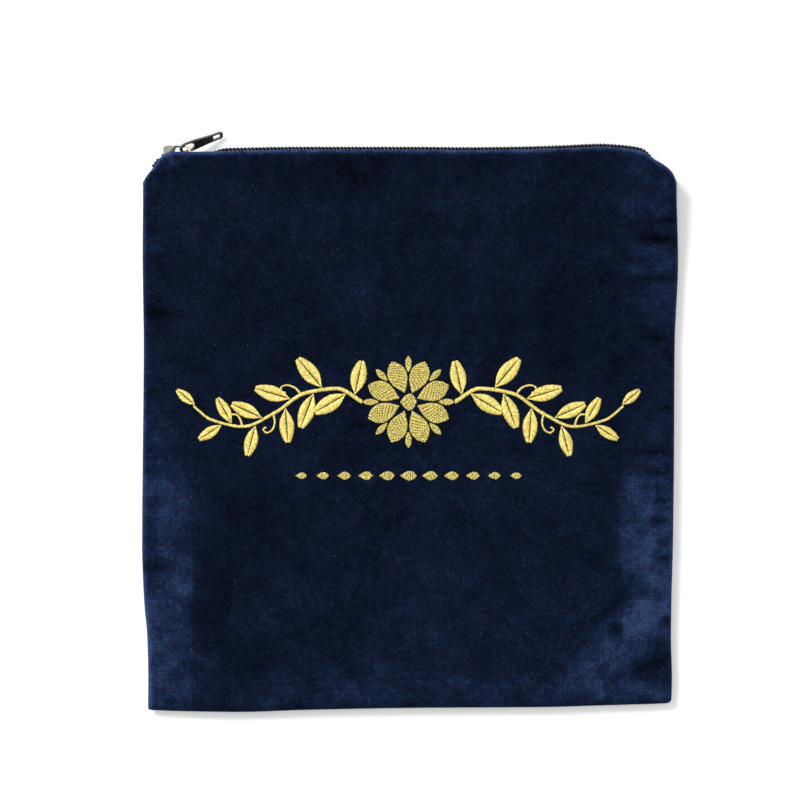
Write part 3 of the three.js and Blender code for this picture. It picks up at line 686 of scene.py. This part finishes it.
def velvet_material():
    """Navy cotton velvet: the weave shows as fine dots through a pile that is brushed unevenly."""
    material, tree, shader = new_material("navy_velvet")
    place = on_piece(tree)
    # the pile's lie, with painted sheen along the rims and painted shade in puckers and folds
    nap_sheen_and_shade = node(tree, "ShaderNodeAttribute", attribute_name="nap_sheen_and_shade").outputs["Fac"]
    clouds = noise(tree, place, 42, 4, 0.62)
    blotches = noise(tree, place, 150, 4, 0.65)
    tufts = noise(tree, place, 620, 3, 0.75)
    across = bands(tree, place, "X", WEAVE_ACROSS_MM, WEAVE_STRAY_ACROSS, WEAVE_STRAY_SCALE)
    upward = bands(tree, place, "Y", WEAVE_UP_MM, WEAVE_STRAY_UP, WEAVE_STRAY_SCALE)
    crossing = math_node(tree, "MULTIPLY", across, upward)
    threads = math_node(tree, "ADD", across, upward)
    dots = scaled(tree, crossing, 0.75, scaled(tree, threads, 0.14))
    patchy = scaled(tree, blotches, 2.4, -0.35)
    lit = math_node(tree, "MULTIPLY", nap_sheen_and_shade, scaled(tree, patchy, 0.45, 0.68))
    tone = scaled(tree, clouds, 0.50, scaled(tree, blotches, 0.36, -0.17))
    tone = math_node(tree, "ADD", tone, lit)
    shown = math_node(tree, "MULTIPLY", scaled(tree, tone, 0.85), patchy, clamp=True)
    threaded = math_node(tree, "MULTIPLY", scaled(tree, dots, 1.0, -0.34), shown)
    tone = math_node(tree, "ADD", tone, threaded)
    tone = math_node(tree, "ADD", tone, scaled(tree, tufts, 0.78, -0.39), clamp=True)
    lint = node(tree, "ShaderNodeMapRange")
    feed(tree, lint, {
        "From Min": 0.725,
        "From Max": 0.82,
        "To Max": 0.6,
        "Value": noise(tree, place, 900, 2, 0.6),
    })
    # navy tones; the lighter and darker ends also carry the painted sheen and shade from the pile attribute
    dye_sheen_and_shade = ramp(tree, tone, [
        (0.0, (0.0008, 0.0014, 0.0034)),
        (0.25, (0.0022, 0.0047, 0.0135)),
        (0.5, (0.0056, 0.0104, 0.0310)),
        (0.75, (0.0125, 0.0265, 0.0780)),
        (1.0, (0.0360, 0.0620, 0.1500)),
    ])
    drift = ramp(tree, noise(tree, place, 300, 3, 0.7), [
        (0.36, (1.22, 0.94, 0.96)),
        (0.50, (1.0, 1.0, 1.0)),
        (0.64, (0.84, 1.06, 1.0)),
    ])
    tinted = node(tree, "ShaderNodeMix", data_type="RGBA", blend_type="MULTIPLY")
    feed(tree, tinted, {"Factor": 1.0, "A": dye_sheen_and_shade, "B": drift})
    linty = node(tree, "ShaderNodeMix", data_type="RGBA")
    feed(tree, linty, {
        "B": (0.16, 0.18, 0.24, 1),
        "Factor": lint.outputs["Result"],
        "A": tinted.outputs["Result"],
    })
    feed(tree, shader, {
        "Base Color": linty.outputs["Result"],
        "Roughness": 0.95,
        "Specular IOR Level": 0.02,
        "Sheen Weight": 0.05,
        "Sheen Roughness": 0.25,
        "Sheen Tint": (0.22, 0.40, 1.0, 1),
    })
    fine = bump(tree, tufts, 0.00025, 0.8)
    feed(tree, shader, {"Normal": bump(tree, dots, 0.00012, 0.6, fine)})
    return material


def tape_material():
    """Black zipper tape, woven in a fine herringbone."""
    material, tree, shader = new_material("zipper_tape")
    place = on_piece(tree)
    ribs = bands(tree, place, "X", 0.55)
    weft = bands(tree, place, "DIAGONAL", 0.7)
    weave = math_node(tree, "MULTIPLY", ribs, weft)
    colour = ramp(tree, weave, [(0.0, (0.006, 0.006, 0.008)), (1.0, (0.028, 0.028, 0.034))])
    feed(tree, shader, {
        "Base Color": colour,
        "Roughness": 0.85,
        "Normal": bump(tree, weave, 0.00015, 0.7),
    })
    return material


def coil_material():
    """Black nylon monofilament with a dull gloss."""
    material, tree, shader = new_material("coil_nylon")
    place = on_piece(tree)
    scuffs = noise(tree, place, 900, 3, 0.6)
    colour = ramp(tree, scuffs, [(0.3, (0.012, 0.012, 0.015)), (0.8, (0.040, 0.040, 0.046))])
    feed(tree, shader, {
        "Base Color": colour,
        "Roughness": scaled(tree, scuffs, 0.25, 0.22),
        "Specular IOR Level": 0.5,
    })
    return material


# The slider's metal: steel painted in as highlights on the enamel, and where and how far it shows
STEEL_DARK = (0.11, 0.115, 0.10)
STEEL_LIGHT = (0.31, 0.295, 0.245)
HIGHLIGHT_TO = -0.2332
HIGHLIGHT_SHARE = 0.50
CUT_FACING = 0.55


def enamel_material(name, cut_normal=None):
    """Black enamel on metal; on faces that stand across cut_normal, the tab's stamped edges, steel is painted
    in as highlights.

    Without one, steel is painted in as highlights on patches of the upward sides of the slider's nose, up to
    the slanting line on which x - y is HIGHLIGHT_TO.
    """
    material, tree, shader = new_material(name)
    coordinates = node(tree, "ShaderNodeTexCoord")
    place = coordinates.outputs["Object"]
    wear = noise(tree, place, 1300, 4, 0.65)
    enamel = ramp(tree, wear, [(0.35, (0.010, 0.010, 0.012)), (0.85, (0.030, 0.030, 0.033))])
    steel = ramp(tree, wear, [(0.3, STEEL_DARK), (0.7, STEEL_LIGHT)])
    dot = node(tree, "ShaderNodeVectorMath", operation="DOT_PRODUCT")
    tree.links.new(coordinates.outputs["Normal"], dot.inputs[0])
    dot.inputs[1].default_value = cut_normal or (0, 0, 1)
    turned = math_node(tree, "ABSOLUTE", dot.outputs["Value"])
    if cut_normal is None:
        # painted highlight: steel on patches of the nose's faces that turn up towards the light
        highlit_patches = scaled(tree, noise(tree, place, 700, 3, 0.6), 1.3)
        highlit_patches = math_node(tree, "MULTIPLY", turned, highlit_patches)
        painted_highlight = math_node(tree, "GREATER_THAN", highlit_patches, HIGHLIGHT_SHARE)
        axes = node(tree, "ShaderNodeSeparateXYZ")
        tree.links.new(place, axes.inputs[0])
        slant = math_node(tree, "SUBTRACT", axes.outputs["X"], axes.outputs["Y"])
        on_nose = math_node(tree, "LESS_THAN", slant, HIGHLIGHT_TO)
        painted_highlight = math_node(tree, "MULTIPLY", painted_highlight, on_nose)
    else:
        # painted highlight: steel on the tab's edges
        painted_highlight = math_node(tree, "LESS_THAN", turned, CUT_FACING)
    # enamel, with steel painted in where the highlights fall
    colour = node(tree, "ShaderNodeMix", data_type="RGBA")
    feed(tree, colour, {"Factor": painted_highlight, "A": enamel, "B": steel})
    feed(tree, shader, {
        "Base Color": colour.outputs["Result"],
        "Metallic": math_node(tree, "MULTIPLY", painted_highlight, 0.9),
        "Roughness": scaled(tree, wear, 0.22, 0.24),
        "Normal": bump(tree, wear, 0.00003, 0.5),
    })
    return material


def copper_material():
    """The spring leaf: rolled copper alloy with fine lines along it."""
    material, tree, shader = new_material("spring_copper")
    place = on_piece(tree)
    lines = bands(tree, place, "Z", 0.12, 2.0, 40)
    stain = noise(tree, place, 800, 3, 0.6)
    colour = ramp(tree, stain, [(0.3, (0.44, 0.31, 0.21)), (0.8, (0.62, 0.51, 0.38))])
    feed(tree, shader, {
        "Base Color": colour,
        "Metallic": 1.0,
        "Roughness": scaled(tree, stain, 0.2, 0.25),
        "Normal": bump(tree, lines, 0.00002, 0.4),
    })
    return material


def thread_material():
    """Gold rayon thread: twisted, glossy, a little deeper in colour from stitch to stitch."""
    material, tree, shader = new_material("gold_thread")
    place = on_piece(tree)
    patches = noise(tree, place, 900, 3, 0.7)
    twist = bands(tree, place, "DIAGONAL", 0.32)
    colour = ramp(tree, scaled(tree, twist, 0.2, patches), [
        (0.3, (0.25, 0.18, 0.025)),
        (0.6, (0.66, 0.54, 0.10)),
        (0.9, (0.96, 0.86, 0.33)),
    ])
    feed(tree, shader, {
        "Base Color": colour,
        "Roughness": 0.38,
        "Specular IOR Level": 0.7,
        "Sheen Weight": 0.15,
        "Normal": bump(tree, twist, 0.00004, 0.6),
    })
    return material


def floor_material():
    material, tree, shader = new_material("pale_floor")
    place = on_piece(tree)
    paper = noise(tree, place, 300, 2, 0.5)
    colour = ramp(tree, paper, [(0.0, (0.86, 0.86, 0.86)), (1.0, (0.90, 0.90, 0.90))])
    feed(tree, shader, {"Base Color": colour, "Roughness": 0.9})
    return material


# The chain's route, as in the frame
ROUTE_STEPS = 4000


def chain_height(x):
    tuck_end = HALF_WIDTH - TUCK_INSET
    on_mouth = mouth_edge(x) + COIL_STAND - TUCK_DEPTH * smoothstep(x, tuck_end - TUCK_LENGTH, tuck_end)
    clear = SLIDER_X + SLIDER_LENGTH / 2 + GAP
    right = mix(SLIDER_Y, on_mouth, smoothstep(x, clear, clear + CHAIN_CLIMB))
    below = SLIDER_Y - on_mouth - CORNER_STAND
    left = SLIDER_Y - CORNER_BEND * np.log1p(np.exp(below / CORNER_BEND))
    return np.where(x > SLIDER_X, right, left)


def chain_route():
    """The chain's middle line from left to right: places, and the length of chain up to each."""
    start = -HALF_WIDTH + CHAIN_LEFT_INSET
    end = HALF_WIDTH - CHAIN_RIGHT_INSET
    x = np.linspace(start, end, ROUTE_STEPS)
    y = chain_height(x)
    travelled = np.concatenate([[0], np.cumsum(np.hypot(np.diff(x), np.diff(y)))])
    return x, y, travelled


ROUTE_X, ROUTE_Y, ROUTE_TRAVELLED = chain_route()
CHAIN_LENGTH = ROUTE_TRAVELLED[-1]


def on_chain(distance):
    """Places and outward directions at distances along the chain."""
    reach = TOOTH_PITCH / 2

    def place_at(travelled):
        return np.stack([np.interp(travelled, ROUTE_TRAVELLED, line) for line in (ROUTE_X, ROUTE_Y)])

    x, y = place_at(distance)
    tangent = place_at(distance + reach) - place_at(distance - reach)
    tangent /= np.linalg.norm(tangent, axis=0)
    zero = np.zeros_like(x)
    return np.stack([x, y, zero], axis=-1), np.stack([-tangent[1], tangent[0], zero], axis=-1)


def ring_faces(rings, sides):
    """Faces of a closed body through rings of vertices, with a lid on each end."""
    faces = []
    for k in range(rings - 1):
        for i in range(sides):
            j = (i + 1) % sides
            faces.append((k * sides + i, k * sides + j, (k + 1) * sides + j, (k + 1) * sides + i))
    faces.append(tuple(range(sides))[::-1])
    faces.append(tuple((rings - 1) * sides + i for i in range(sides)))
    return faces


# A direction that no tube runs along
TUBE_HELPER = (0.31, 0.22, 0.92)


def tube(points, radius, sides):
    """Vertices and faces of a closed round tube through points."""
    tangents = np.gradient(points, axis=0)
    tangents /= np.linalg.norm(tangents, axis=1, keepdims=True)
    first = np.cross(tangents, np.array(TUBE_HELPER))
    first /= np.linalg.norm(first, axis=1, keepdims=True)
    second = np.cross(tangents, first)
    angles = np.linspace(0, 2 * math.pi, sides, endpoint=False)
    rings = (
        points[:, None]
        + radius * np.cos(angles)[None, :, None] * first[:, None]
        + radius * np.sin(angles)[None, :, None] * second[:, None]
    )
    return rings.reshape(-1, 3), ring_faces(len(points), sides)


# The coil's mesh, how its loops lead, how square they are and how they part around the slider's neck
COIL_STEPS = 14
COIL_SIDES = 7
COIL_LEAD = 0.16
COIL_SQUARENESS = 0.8
BACK_COIL_RISE = 0.7
PART_LENGTH = 1.2
TAPE_STEPS = 460


def nylon_coil(name, side, material):
    """One half of the coil: a flattened spiral whose loops reach past the middle, between the other's."""
    turns = CHAIN_LENGTH / TOOTH_PITCH
    steps = int(turns * COIL_STEPS)
    turn = np.linspace(0, turns, steps)
    phase = 2 * math.pi * (turn + (0.5 if side < 0 else 0.0))
    lead = COIL_LEAD * np.sin(2 * phase)
    distance = np.clip(turn * TOOTH_PITCH + lead, 0, CHAIN_LENGTH)
    place, out = on_chain(distance)
    neck_from = SLIDER_X - SLIDER_LENGTH / 2 + NECK_INSET - GAP - COIL_WIRE
    neck_to = neck_from + NECK_LENGTH + 2 * (GAP + COIL_WIRE)
    parted = smoothstep(place[:, 0], neck_from - PART_LENGTH, neck_from)
    parted = parted * (1 - smoothstep(place[:, 0], neck_to, neck_to + PART_LENGTH))
    inner = mix(-COIL_OVERLAP, NECK_HALF_WIDTH + GAP + COIL_WIRE, parted)
    outer = COIL_HALF_WIDTH - COIL_WIRE
    across = (outer + inner) / 2 + (outer - inner) / 2 * np.cos(phase)
    squared = np.sign(np.sin(phase)) * np.abs(np.sin(phase)) ** COIL_SQUARENESS
    rise = (COIL_HEIGHT / 2 - COIL_WIRE) * squared * (1.0 if side > 0 else BACK_COIL_RISE)
    points = place + out * rise[:, None]
    points[:, 2] = CHAIN_Z + side * across
    verts, faces = tube(points, COIL_WIRE, COIL_SIDES)
    return mesh_object(name, verts, faces, material)


def swept(name, loops, material):
    """A closed body swept through loops of points."""
    faces = ring_faces(loops.shape[0], loops.shape[1])
    return mesh_object(name, loops.reshape(-1, 3), faces, material, smooth=False)


def woven_tape(name, side, material):
    """One side of the tape: under the coil, then down inside the velvet to its hem."""
    distance = np.linspace(0, CHAIN_LENGTH, TAPE_STEPS)
    place, out = on_chain(distance)
    share = distance / CHAIN_LENGTH
    near = NECK_HALF_WIDTH + GAP
    hem_x = mix(-HALF_WIDTH + CHAIN_LEFT_INSET + HEM_INSET, HALF_WIDTH - CHAIN_RIGHT_INSET - HEM_INSET, share)

    def at(depth, across):
        points = place + out * depth
        points[:, 2] = CHAIN_Z + side * across
        return points

    def hem(across):
        return np.stack(np.broadcast_arrays(hem_x, TOP_Y - TAPE_HEM, CHAIN_Z + side * across), axis=-1)

    far = TAPE_SIDE + TAPE_THICKNESS
    soft = TAPE_THICKNESS / 2
    loop = [
        at(-TAPE_UNDER, near),
        at(-TAPE_UNDER - TAPE_THICKNESS, near),
        at(-TAPE_UNDER - TAPE_THICKNESS, TAPE_SIDE),
        hem(TAPE_SIDE),
        hem(far),
        at(-TAPE_UNDER - soft, far),
        at(-TAPE_UNDER, far - soft),
    ]
    loops = np.stack(loop if side > 0 else loop[::-1], axis=1)
    return swept(name, loops, material)


# Embroidery: every stitch is a thread of its own, laid over the velvet
STITCH_PITCH = 0.40
STITCH_WIDTH = 0.44
STITCH_HEIGHT = 0.42
STITCH_JITTER = 0.05
STITCH_SEED = 5
STITCH_SIDES = 6
SHORTEST_HALF = 0.25
FILL_LENGTH = 2.3
FILL_PITCH = 0.52
FILL_STAGGER = 5
FILL_REST = 0.3
LIFT_SPREAD = (0.7, 1.3)
CURVE_STEPS = 400
COLUMN_SLANT = 0.3
LEAF_BELLY = 0.82
LEAF_BLUNTNESS = 0.8
LEAF_SLANT = 0.11
RIB_HALF = 0.12
PETAL_BELLY = 1.25
PETAL_BLUNTNESS = 0.7
ORNAMENT_X = -0.8
ORNAMENT_Y = 9.0

# One stitch: places along it, the height of its arch and its fullness there
STITCH_SPREAD = np.array([0.0, 0.12, 0.34, 0.66, 0.88, 1.0])
STITCH_ARCH = np.array([-0.35, 0.55, 1.0, 1.0, 0.55, -0.35])
STITCH_FULLNESS = np.array([0.45, 0.92, 1.0, 1.0, 0.92, 0.45])


def turned_by(degrees):
    c, s = math.cos(math.radians(degrees)), math.sin(math.radians(degrees))
    return np.array([[c, -s], [s, c]])


def curve_through(points, count):
    """A smooth line through a few points, with its places and directions."""
    points = np.array(points, float)
    keys = np.concatenate([[0], np.cumsum(np.hypot(*np.diff(points, axis=0).T))])
    fine = np.linspace(0, keys[-1], count)
    columns = [along({"k": keys, "v": points[:, i]}, "k", "v", fine) for i in (0, 1)]
    line = np.stack(columns, axis=-1)
    direction = np.gradient(line, axis=0)
    return line, direction / np.linalg.norm(direction, axis=1, keepdims=True)


def leaf_stitches(x, y, angle, length, width):
    """A leaf in two halves, each of slanted stitches from the midrib to the edge."""
    turn = turned_by(angle)
    count = int(length / STITCH_PITCH)
    stitches = []
    for side in (-1, 1):
        for k in range(count):
            t = (k + 0.5) / count
            half = width / 2 * math.sin(math.pi * t ** LEAF_BELLY) ** LEAF_BLUNTNESS
            if half < SHORTEST_HALF:
                continue
            rib = np.array([t * length, side * RIB_HALF])
            edge = np.array([min(length, (t + LEAF_SLANT) * length), side * half])
            stitches.append((rib, edge))
    return [(turn @ a + (x, y), turn @ b + (x, y)) for a, b in stitches]


def column_stitches(points, widths):
    """A satin column along a line, wider or narrower as widths say."""
    line, _ = curve_through(points, CURVE_STEPS)
    length = np.hypot(*np.diff(line, axis=0).T).sum()
    count = int(length / STITCH_PITCH)
    line, direction = curve_through(points, count)
    normal = np.stack([-direction[:, 1], direction[:, 0]], axis=-1)
    width = np.interp(np.linspace(0, 1, count), np.linspace(0, 1, len(widths)), widths)
    slant = direction * COLUMN_SLANT
    return [(p - n * w / 2 - q, p + n * w / 2 + q) for p, n, w, q in zip(line, normal, width, slant)]


def fill_cuts(half, row):
    """Where the needle goes down along one row of a filled shape, staggered from row to row."""
    offset = FILL_LENGTH * ((row * 2) % FILL_STAGGER) / FILL_STAGGER
    places = np.arange(-half - FILL_LENGTH + offset, half, FILL_LENGTH)
    inner = [p for p in places if abs(p) < half - FILL_REST * FILL_LENGTH]
    return [-half, *inner, half]


def petal_stitches(x, y, angle, start, length, width):
    """A petal filled with rows of short stitches across its length."""
    turn = turned_by(angle)
    count = int(length / FILL_PITCH)
    stitches = []
    for k in range(count):
        t = (k + 0.5) / count
        half = width / 2 * math.sin(math.pi * t ** PETAL_BELLY) ** PETAL_BLUNTNESS
        if half < SHORTEST_HALF:
            continue
        along_it = start + t * length
        cuts = fill_cuts(half, k)
        for low, high in zip(cuts, cuts[1:]):
            ends = [turn @ np.array([along_it, end]) + (x, y) for end in (low, high)]
            stitches.append(tuple(ends))
    return stitches


# One half of the garland, from the middle outwards, in millimetres from the ornament's middle
VINE_POINTS = [(21, 4.2), (32, 10), (46, 8), (60, -1), (74, -7), (88, -4), (96, 2)]
LEAF_ROWS = [
    # along the vine, side, angle from the vine, length, width
    (0.05, 1, 66, 15.5, 7.2),
    (0.09, -1, -62, 16.5, 7.4),
    (0.23, 1, 58, 17.0, 7.6),
    (0.28, -1, -58, 16.5, 7.2),
    (0.41, 1, 54, 16.5, 7.0),
    (0.46, -1, -56, 15.5, 6.8),
    (0.59, 1, 54, 15.0, 6.4),
    (0.64, -1, -52, 14.0, 6.0),
    (0.77, 1, 50, 13.0, 5.4),
    (0.82, -1, -48, 12.0, 5.0),
    (1.00, 1, 2, 10.5, 4.6),
]
TENDRIL_ROWS = [
    # along the vine, side, length
    (0.35, 1, 9.0),
    (0.53, -1, 8.5),
    (0.71, 1, 7.5),
]
TENDRIL_SHAPE = ((0.0, 0.0), (0.30, 0.34), (0.70, 0.48), (1.0, 0.34), (0.98, 0.10), (0.80, 0.12))
TENDRIL_WIDTHS = [1.1, 0.9, 0.8, 1.0]
TENDRIL_TURN = 24
VINE_WIDTHS = [1.9, 1.7, 1.4, 1.1]
VINE_STEPS = 500
LEAF_STALK = 0.9
PETALS = 8
ROSETTE_ROWS = [
    # turn from the petal's place, start from the middle, length, width
    (22.5, 4.4, 15.0, 8.8),
    (0, 13.0, 7.5, 3.0),
]
ROSETTE_HEART = (0, -3.6, 7.2, 7.8)
ROSETTE_Y = 4.0
DIAMONDS = 11
DIAMOND_STEP = 9.6
DIAMOND_Y = -29.0
DIAMOND_LENGTH = 7.2
DIAMOND_SHRINK = 0.45
DIAMOND_BREADTH = 0.62


def tendril_stitches(x, y, angle, side, length):
    """A thin curled shoot."""
    turn = turned_by(angle)
    points = [turn @ (np.array([u, side * v]) * length) + (x, y) for u, v in TENDRIL_SHAPE]
    return column_stitches(points, TENDRIL_WIDTHS)


def garland():
    """A mirrored leafy vine."""
    line, direction = curve_through(VINE_POINTS, VINE_STEPS)
    heading = np.degrees(np.arctan2(direction[:, 1], direction[:, 0]))
    half = column_stitches(VINE_POINTS, VINE_WIDTHS)
    for share, side, angle, length, width in LEAF_ROWS:
        k = int(share * (VINE_STEPS - 1))
        normal = np.array([-direction[k, 1], direction[k, 0]]) * side * LEAF_STALK
        half += leaf_stitches(*(line[k] + normal), heading[k] + angle, length, width)
    for share, side, length in TENDRIL_ROWS:
        k = int(share * (VINE_STEPS - 1))
        half += tendril_stitches(*line[k], heading[k] + side * TENDRIL_TURN, side, length)
    mirror = np.array([-1, 1])
    return half + [(a * mirror, b * mirror) for a, b in half]


def rosette():
    """A rosette of broad petals with small ones between them, and a row of small diamonds under it."""
    stitches = []
    for k in range(PETALS):
        for offset, start, length, width in ROSETTE_ROWS:
            stitches += petal_stitches(0, ROSETTE_Y, 360 / PETALS * k + offset, start, length, width)
    stitches += petal_stitches(0, ROSETTE_Y, *ROSETTE_HEART)
    for k in range(-(DIAMONDS // 2), DIAMONDS // 2 + 1):
        size = DIAMOND_LENGTH - DIAMOND_SHRINK * abs(k)
        stitches += petal_stitches(k * DIAMOND_STEP, DIAMOND_Y, 0, -size / 2, size, DIAMOND_BREADTH * size)
    return stitches


RAY_FROM = 50


def embroidery(name, stitches, ground, material):
    """Threads from stitch to stitch, each arched over the velvet it is sewn to."""
    angles = np.linspace(0, 2 * math.pi, STITCH_SIDES, endpoint=False)
    random = np.random.default_rng(STITCH_SEED)
    steps = len(STITCH_SPREAD)
    verts, faces = [], []

    def height(x, y):
        hit = ground.ray_cast(Vector((x, y, RAY_FROM)) * MM, Vector((0, 0, -1)))[0]
        return hit.z / MM

    for start, end in stitches:
        a = start + (ORNAMENT_X, ORNAMENT_Y) + random.normal(0, STITCH_JITTER, 2)
        b = end + (ORNAMENT_X, ORNAMENT_Y) + random.normal(0, STITCH_JITTER, 2)
        heading = (b - a) / max(1e-6, np.linalg.norm(b - a))
        normal = np.array([-heading[1], heading[0]])
        lift = STITCH_HEIGHT * random.uniform(*LIFT_SPREAD)
        level = np.interp(STITCH_SPREAD, [0, 1], [height(*a), height(*b)])
        middle_x = mix(a[0], b[0], STITCH_SPREAD)
        middle_y = mix(a[1], b[1], STITCH_SPREAD)
        first = len(verts)
        for k in range(steps):
            for angle in angles:
                wide = STITCH_WIDTH / 2 * STITCH_FULLNESS[k] * math.cos(angle)
                tall = STITCH_HEIGHT / 2 * STITCH_FULLNESS[k] * math.sin(angle)
                verts.append((middle_x[k] + normal[0] * wide, middle_y[k] + normal[1] * wide,
                              level[k] + STITCH_ARCH[k] * lift + tall))
        faces += [tuple(first + i for i in face[::-1]) for face in ring_faces(steps, STITCH_SIDES)]
    return mesh_object(name, verts, faces, material)


# Camera and light
FLOOR_SIZE = 4.0
ROOM_LIGHT = 0.55


def make_camera():
    """Straight above the bag, framed as the photograph is."""
    centre_x = (PICTURE_PX / 2 - CAMERA_CENTRE_PX[0]) / CAMERA_PX_PER_MM
    centre_y = (CAMERA_CENTRE_PX[1] - PICTURE_PX / 2) / CAMERA_PX_PER_MM
    width = PICTURE_PX / CAMERA_PX_PER_MM * MM
    data = bpy.data.cameras.new("camera")
    data.sensor_width = SENSOR_MM
    data.lens = SENSOR_MM * CAMERA_DISTANCE / width
    data.clip_start = 0.01
    camera = bpy.data.objects.new("camera", data)
    camera.location = (centre_x * MM, centre_y * MM, CAMERA_DISTANCE + CHAIN_Z * MM)
    bpy.context.scene.collection.objects.link(camera)
    bpy.context.scene.camera = camera


def area_light(name, place, size, power):
    """A round lamp that looks at the origin."""
    data = bpy.data.lights.new(name, "AREA")
    data.shape = "DISK"
    data.size = size
    data.energy = power
    light = bpy.data.objects.new(name, data)
    light.location = place
    bpy.context.scene.collection.objects.link(light)
    light.rotation_euler = (-light.location).to_track_quat("-Z", "Y").to_euler()


def make_studio():
    """White table, one large soft light from the upper left and a pale room."""
    bpy.ops.mesh.primitive_grid_add(x_subdivisions=2, y_subdivisions=2, size=FLOOR_SIZE)
    floor = bpy.context.object
    floor.name = "floor"
    floor.data.materials.append(floor_material())
    area_light("key", (-0.75, 0.80, 0.95), size=0.7, power=24)
    area_light("top", (0.25, -0.1, 1.7), size=1.4, power=12)
    world = bpy.data.worlds.new("room")
    bpy.context.scene.world = world
    world.use_nodes = True
    background = world.node_tree.nodes["Background"]
    feed(world.node_tree, background, {"Color": (1, 1, 1, 1), "Strength": ROOM_LIGHT})
    view = bpy.context.scene.view_settings
    view.view_transform = "Standard"
    view.look = "None"


make_camera()
make_studio()

# Where the first rows of a wall lie, in millimetres from its seams
FRONT_STEPS = [0, 0.35, 0.8, 1.4, 2.2, 3.4, 5.0]
BACK_STEPS = [0, 0.4, 1.0, 1.9, 3.2, 5.0, 7.2]
velvet = velvet_material()
front_across = shares(BAG_WIDTH, FRONT_STEPS, count=150, both_ends=True)
front_up = shares(BAG_HEIGHT, FRONT_STEPS, count=168, both_ends=False)
front_velvet = cloth_wall("front_velvet", front_grid, front_across, front_up, faces_up=True,
                          material=velvet, shift=sewn_wrinkles(front_grid))
back_across = shares(BAG_WIDTH, BACK_STEPS, count=60, both_ends=True)
back_up = shares(BAG_HEIGHT, BACK_STEPS, count=66, both_ends=False)
back_velvet = cloth_wall("back_velvet", back_grid, back_across, back_up, faces_up=False,
                         material=velvet)
lay_pile_sheen_and_shade(front_velvet)
lay_pile_sheen_and_shade(back_velvet)
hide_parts("front_panel")
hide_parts("back_panel")

tape = tape_material()
front_tape = woven_tape("front_tape_cloth", 1, tape)
back_tape = woven_tape("back_tape_cloth", -1, tape)
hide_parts("front_tape")
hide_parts("back_tape")

nylon = coil_material()
front_coil = nylon_coil("front_coil_spiral", 1, nylon)
back_coil = nylon_coil("back_coil_spiral", -1, nylon)
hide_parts("front_coil")
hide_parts("back_coil")

ground = BVHTree.FromObject(front_velvet, bpy.context.evaluated_depsgraph_get())
gold = thread_material()
gold_garland = embroidery("gold_garland", garland(), ground, gold)
gold_rosette = embroidery("gold_rosette", rosette(), ground, gold)

# The metal pieces keep their meshes: material, and how far the edges are rounded, in millimetres
PULL_FACE_NORMAL = (0.4288, -0.7006, 0.5703)
for name, metal, edge in (
    ("slider_body", enamel_material("slider_enamel"), 0.18),
    ("pull_tab", enamel_material("pull_enamel", PULL_FACE_NORMAL), 0.09),
    ("locking_spring", copper_material(), 0.08),
):
    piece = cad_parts[name]
    piece.data.materials.clear()
    piece.data.materials.append(metal)
    rounded = piece.modifiers.new("soft_edges", "BEVEL")
    rounded.width = edge * MM
    rounded.segments = 2
    rounded.limit_method = "ANGLE"
    rounded.angle_limit = math.radians(35)

for piece, slot in (
    (front_velvet, "velvet"), (back_velvet, "velvet"), (front_tape, "tape_cloth"),
    (back_tape, "tape_cloth"), (front_coil, "coil_nylon"), (back_coil, "coil_nylon"),
    (gold_garland, "gold_thread"), (gold_rosette, "gold_thread"),
):
    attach(piece, "bag")
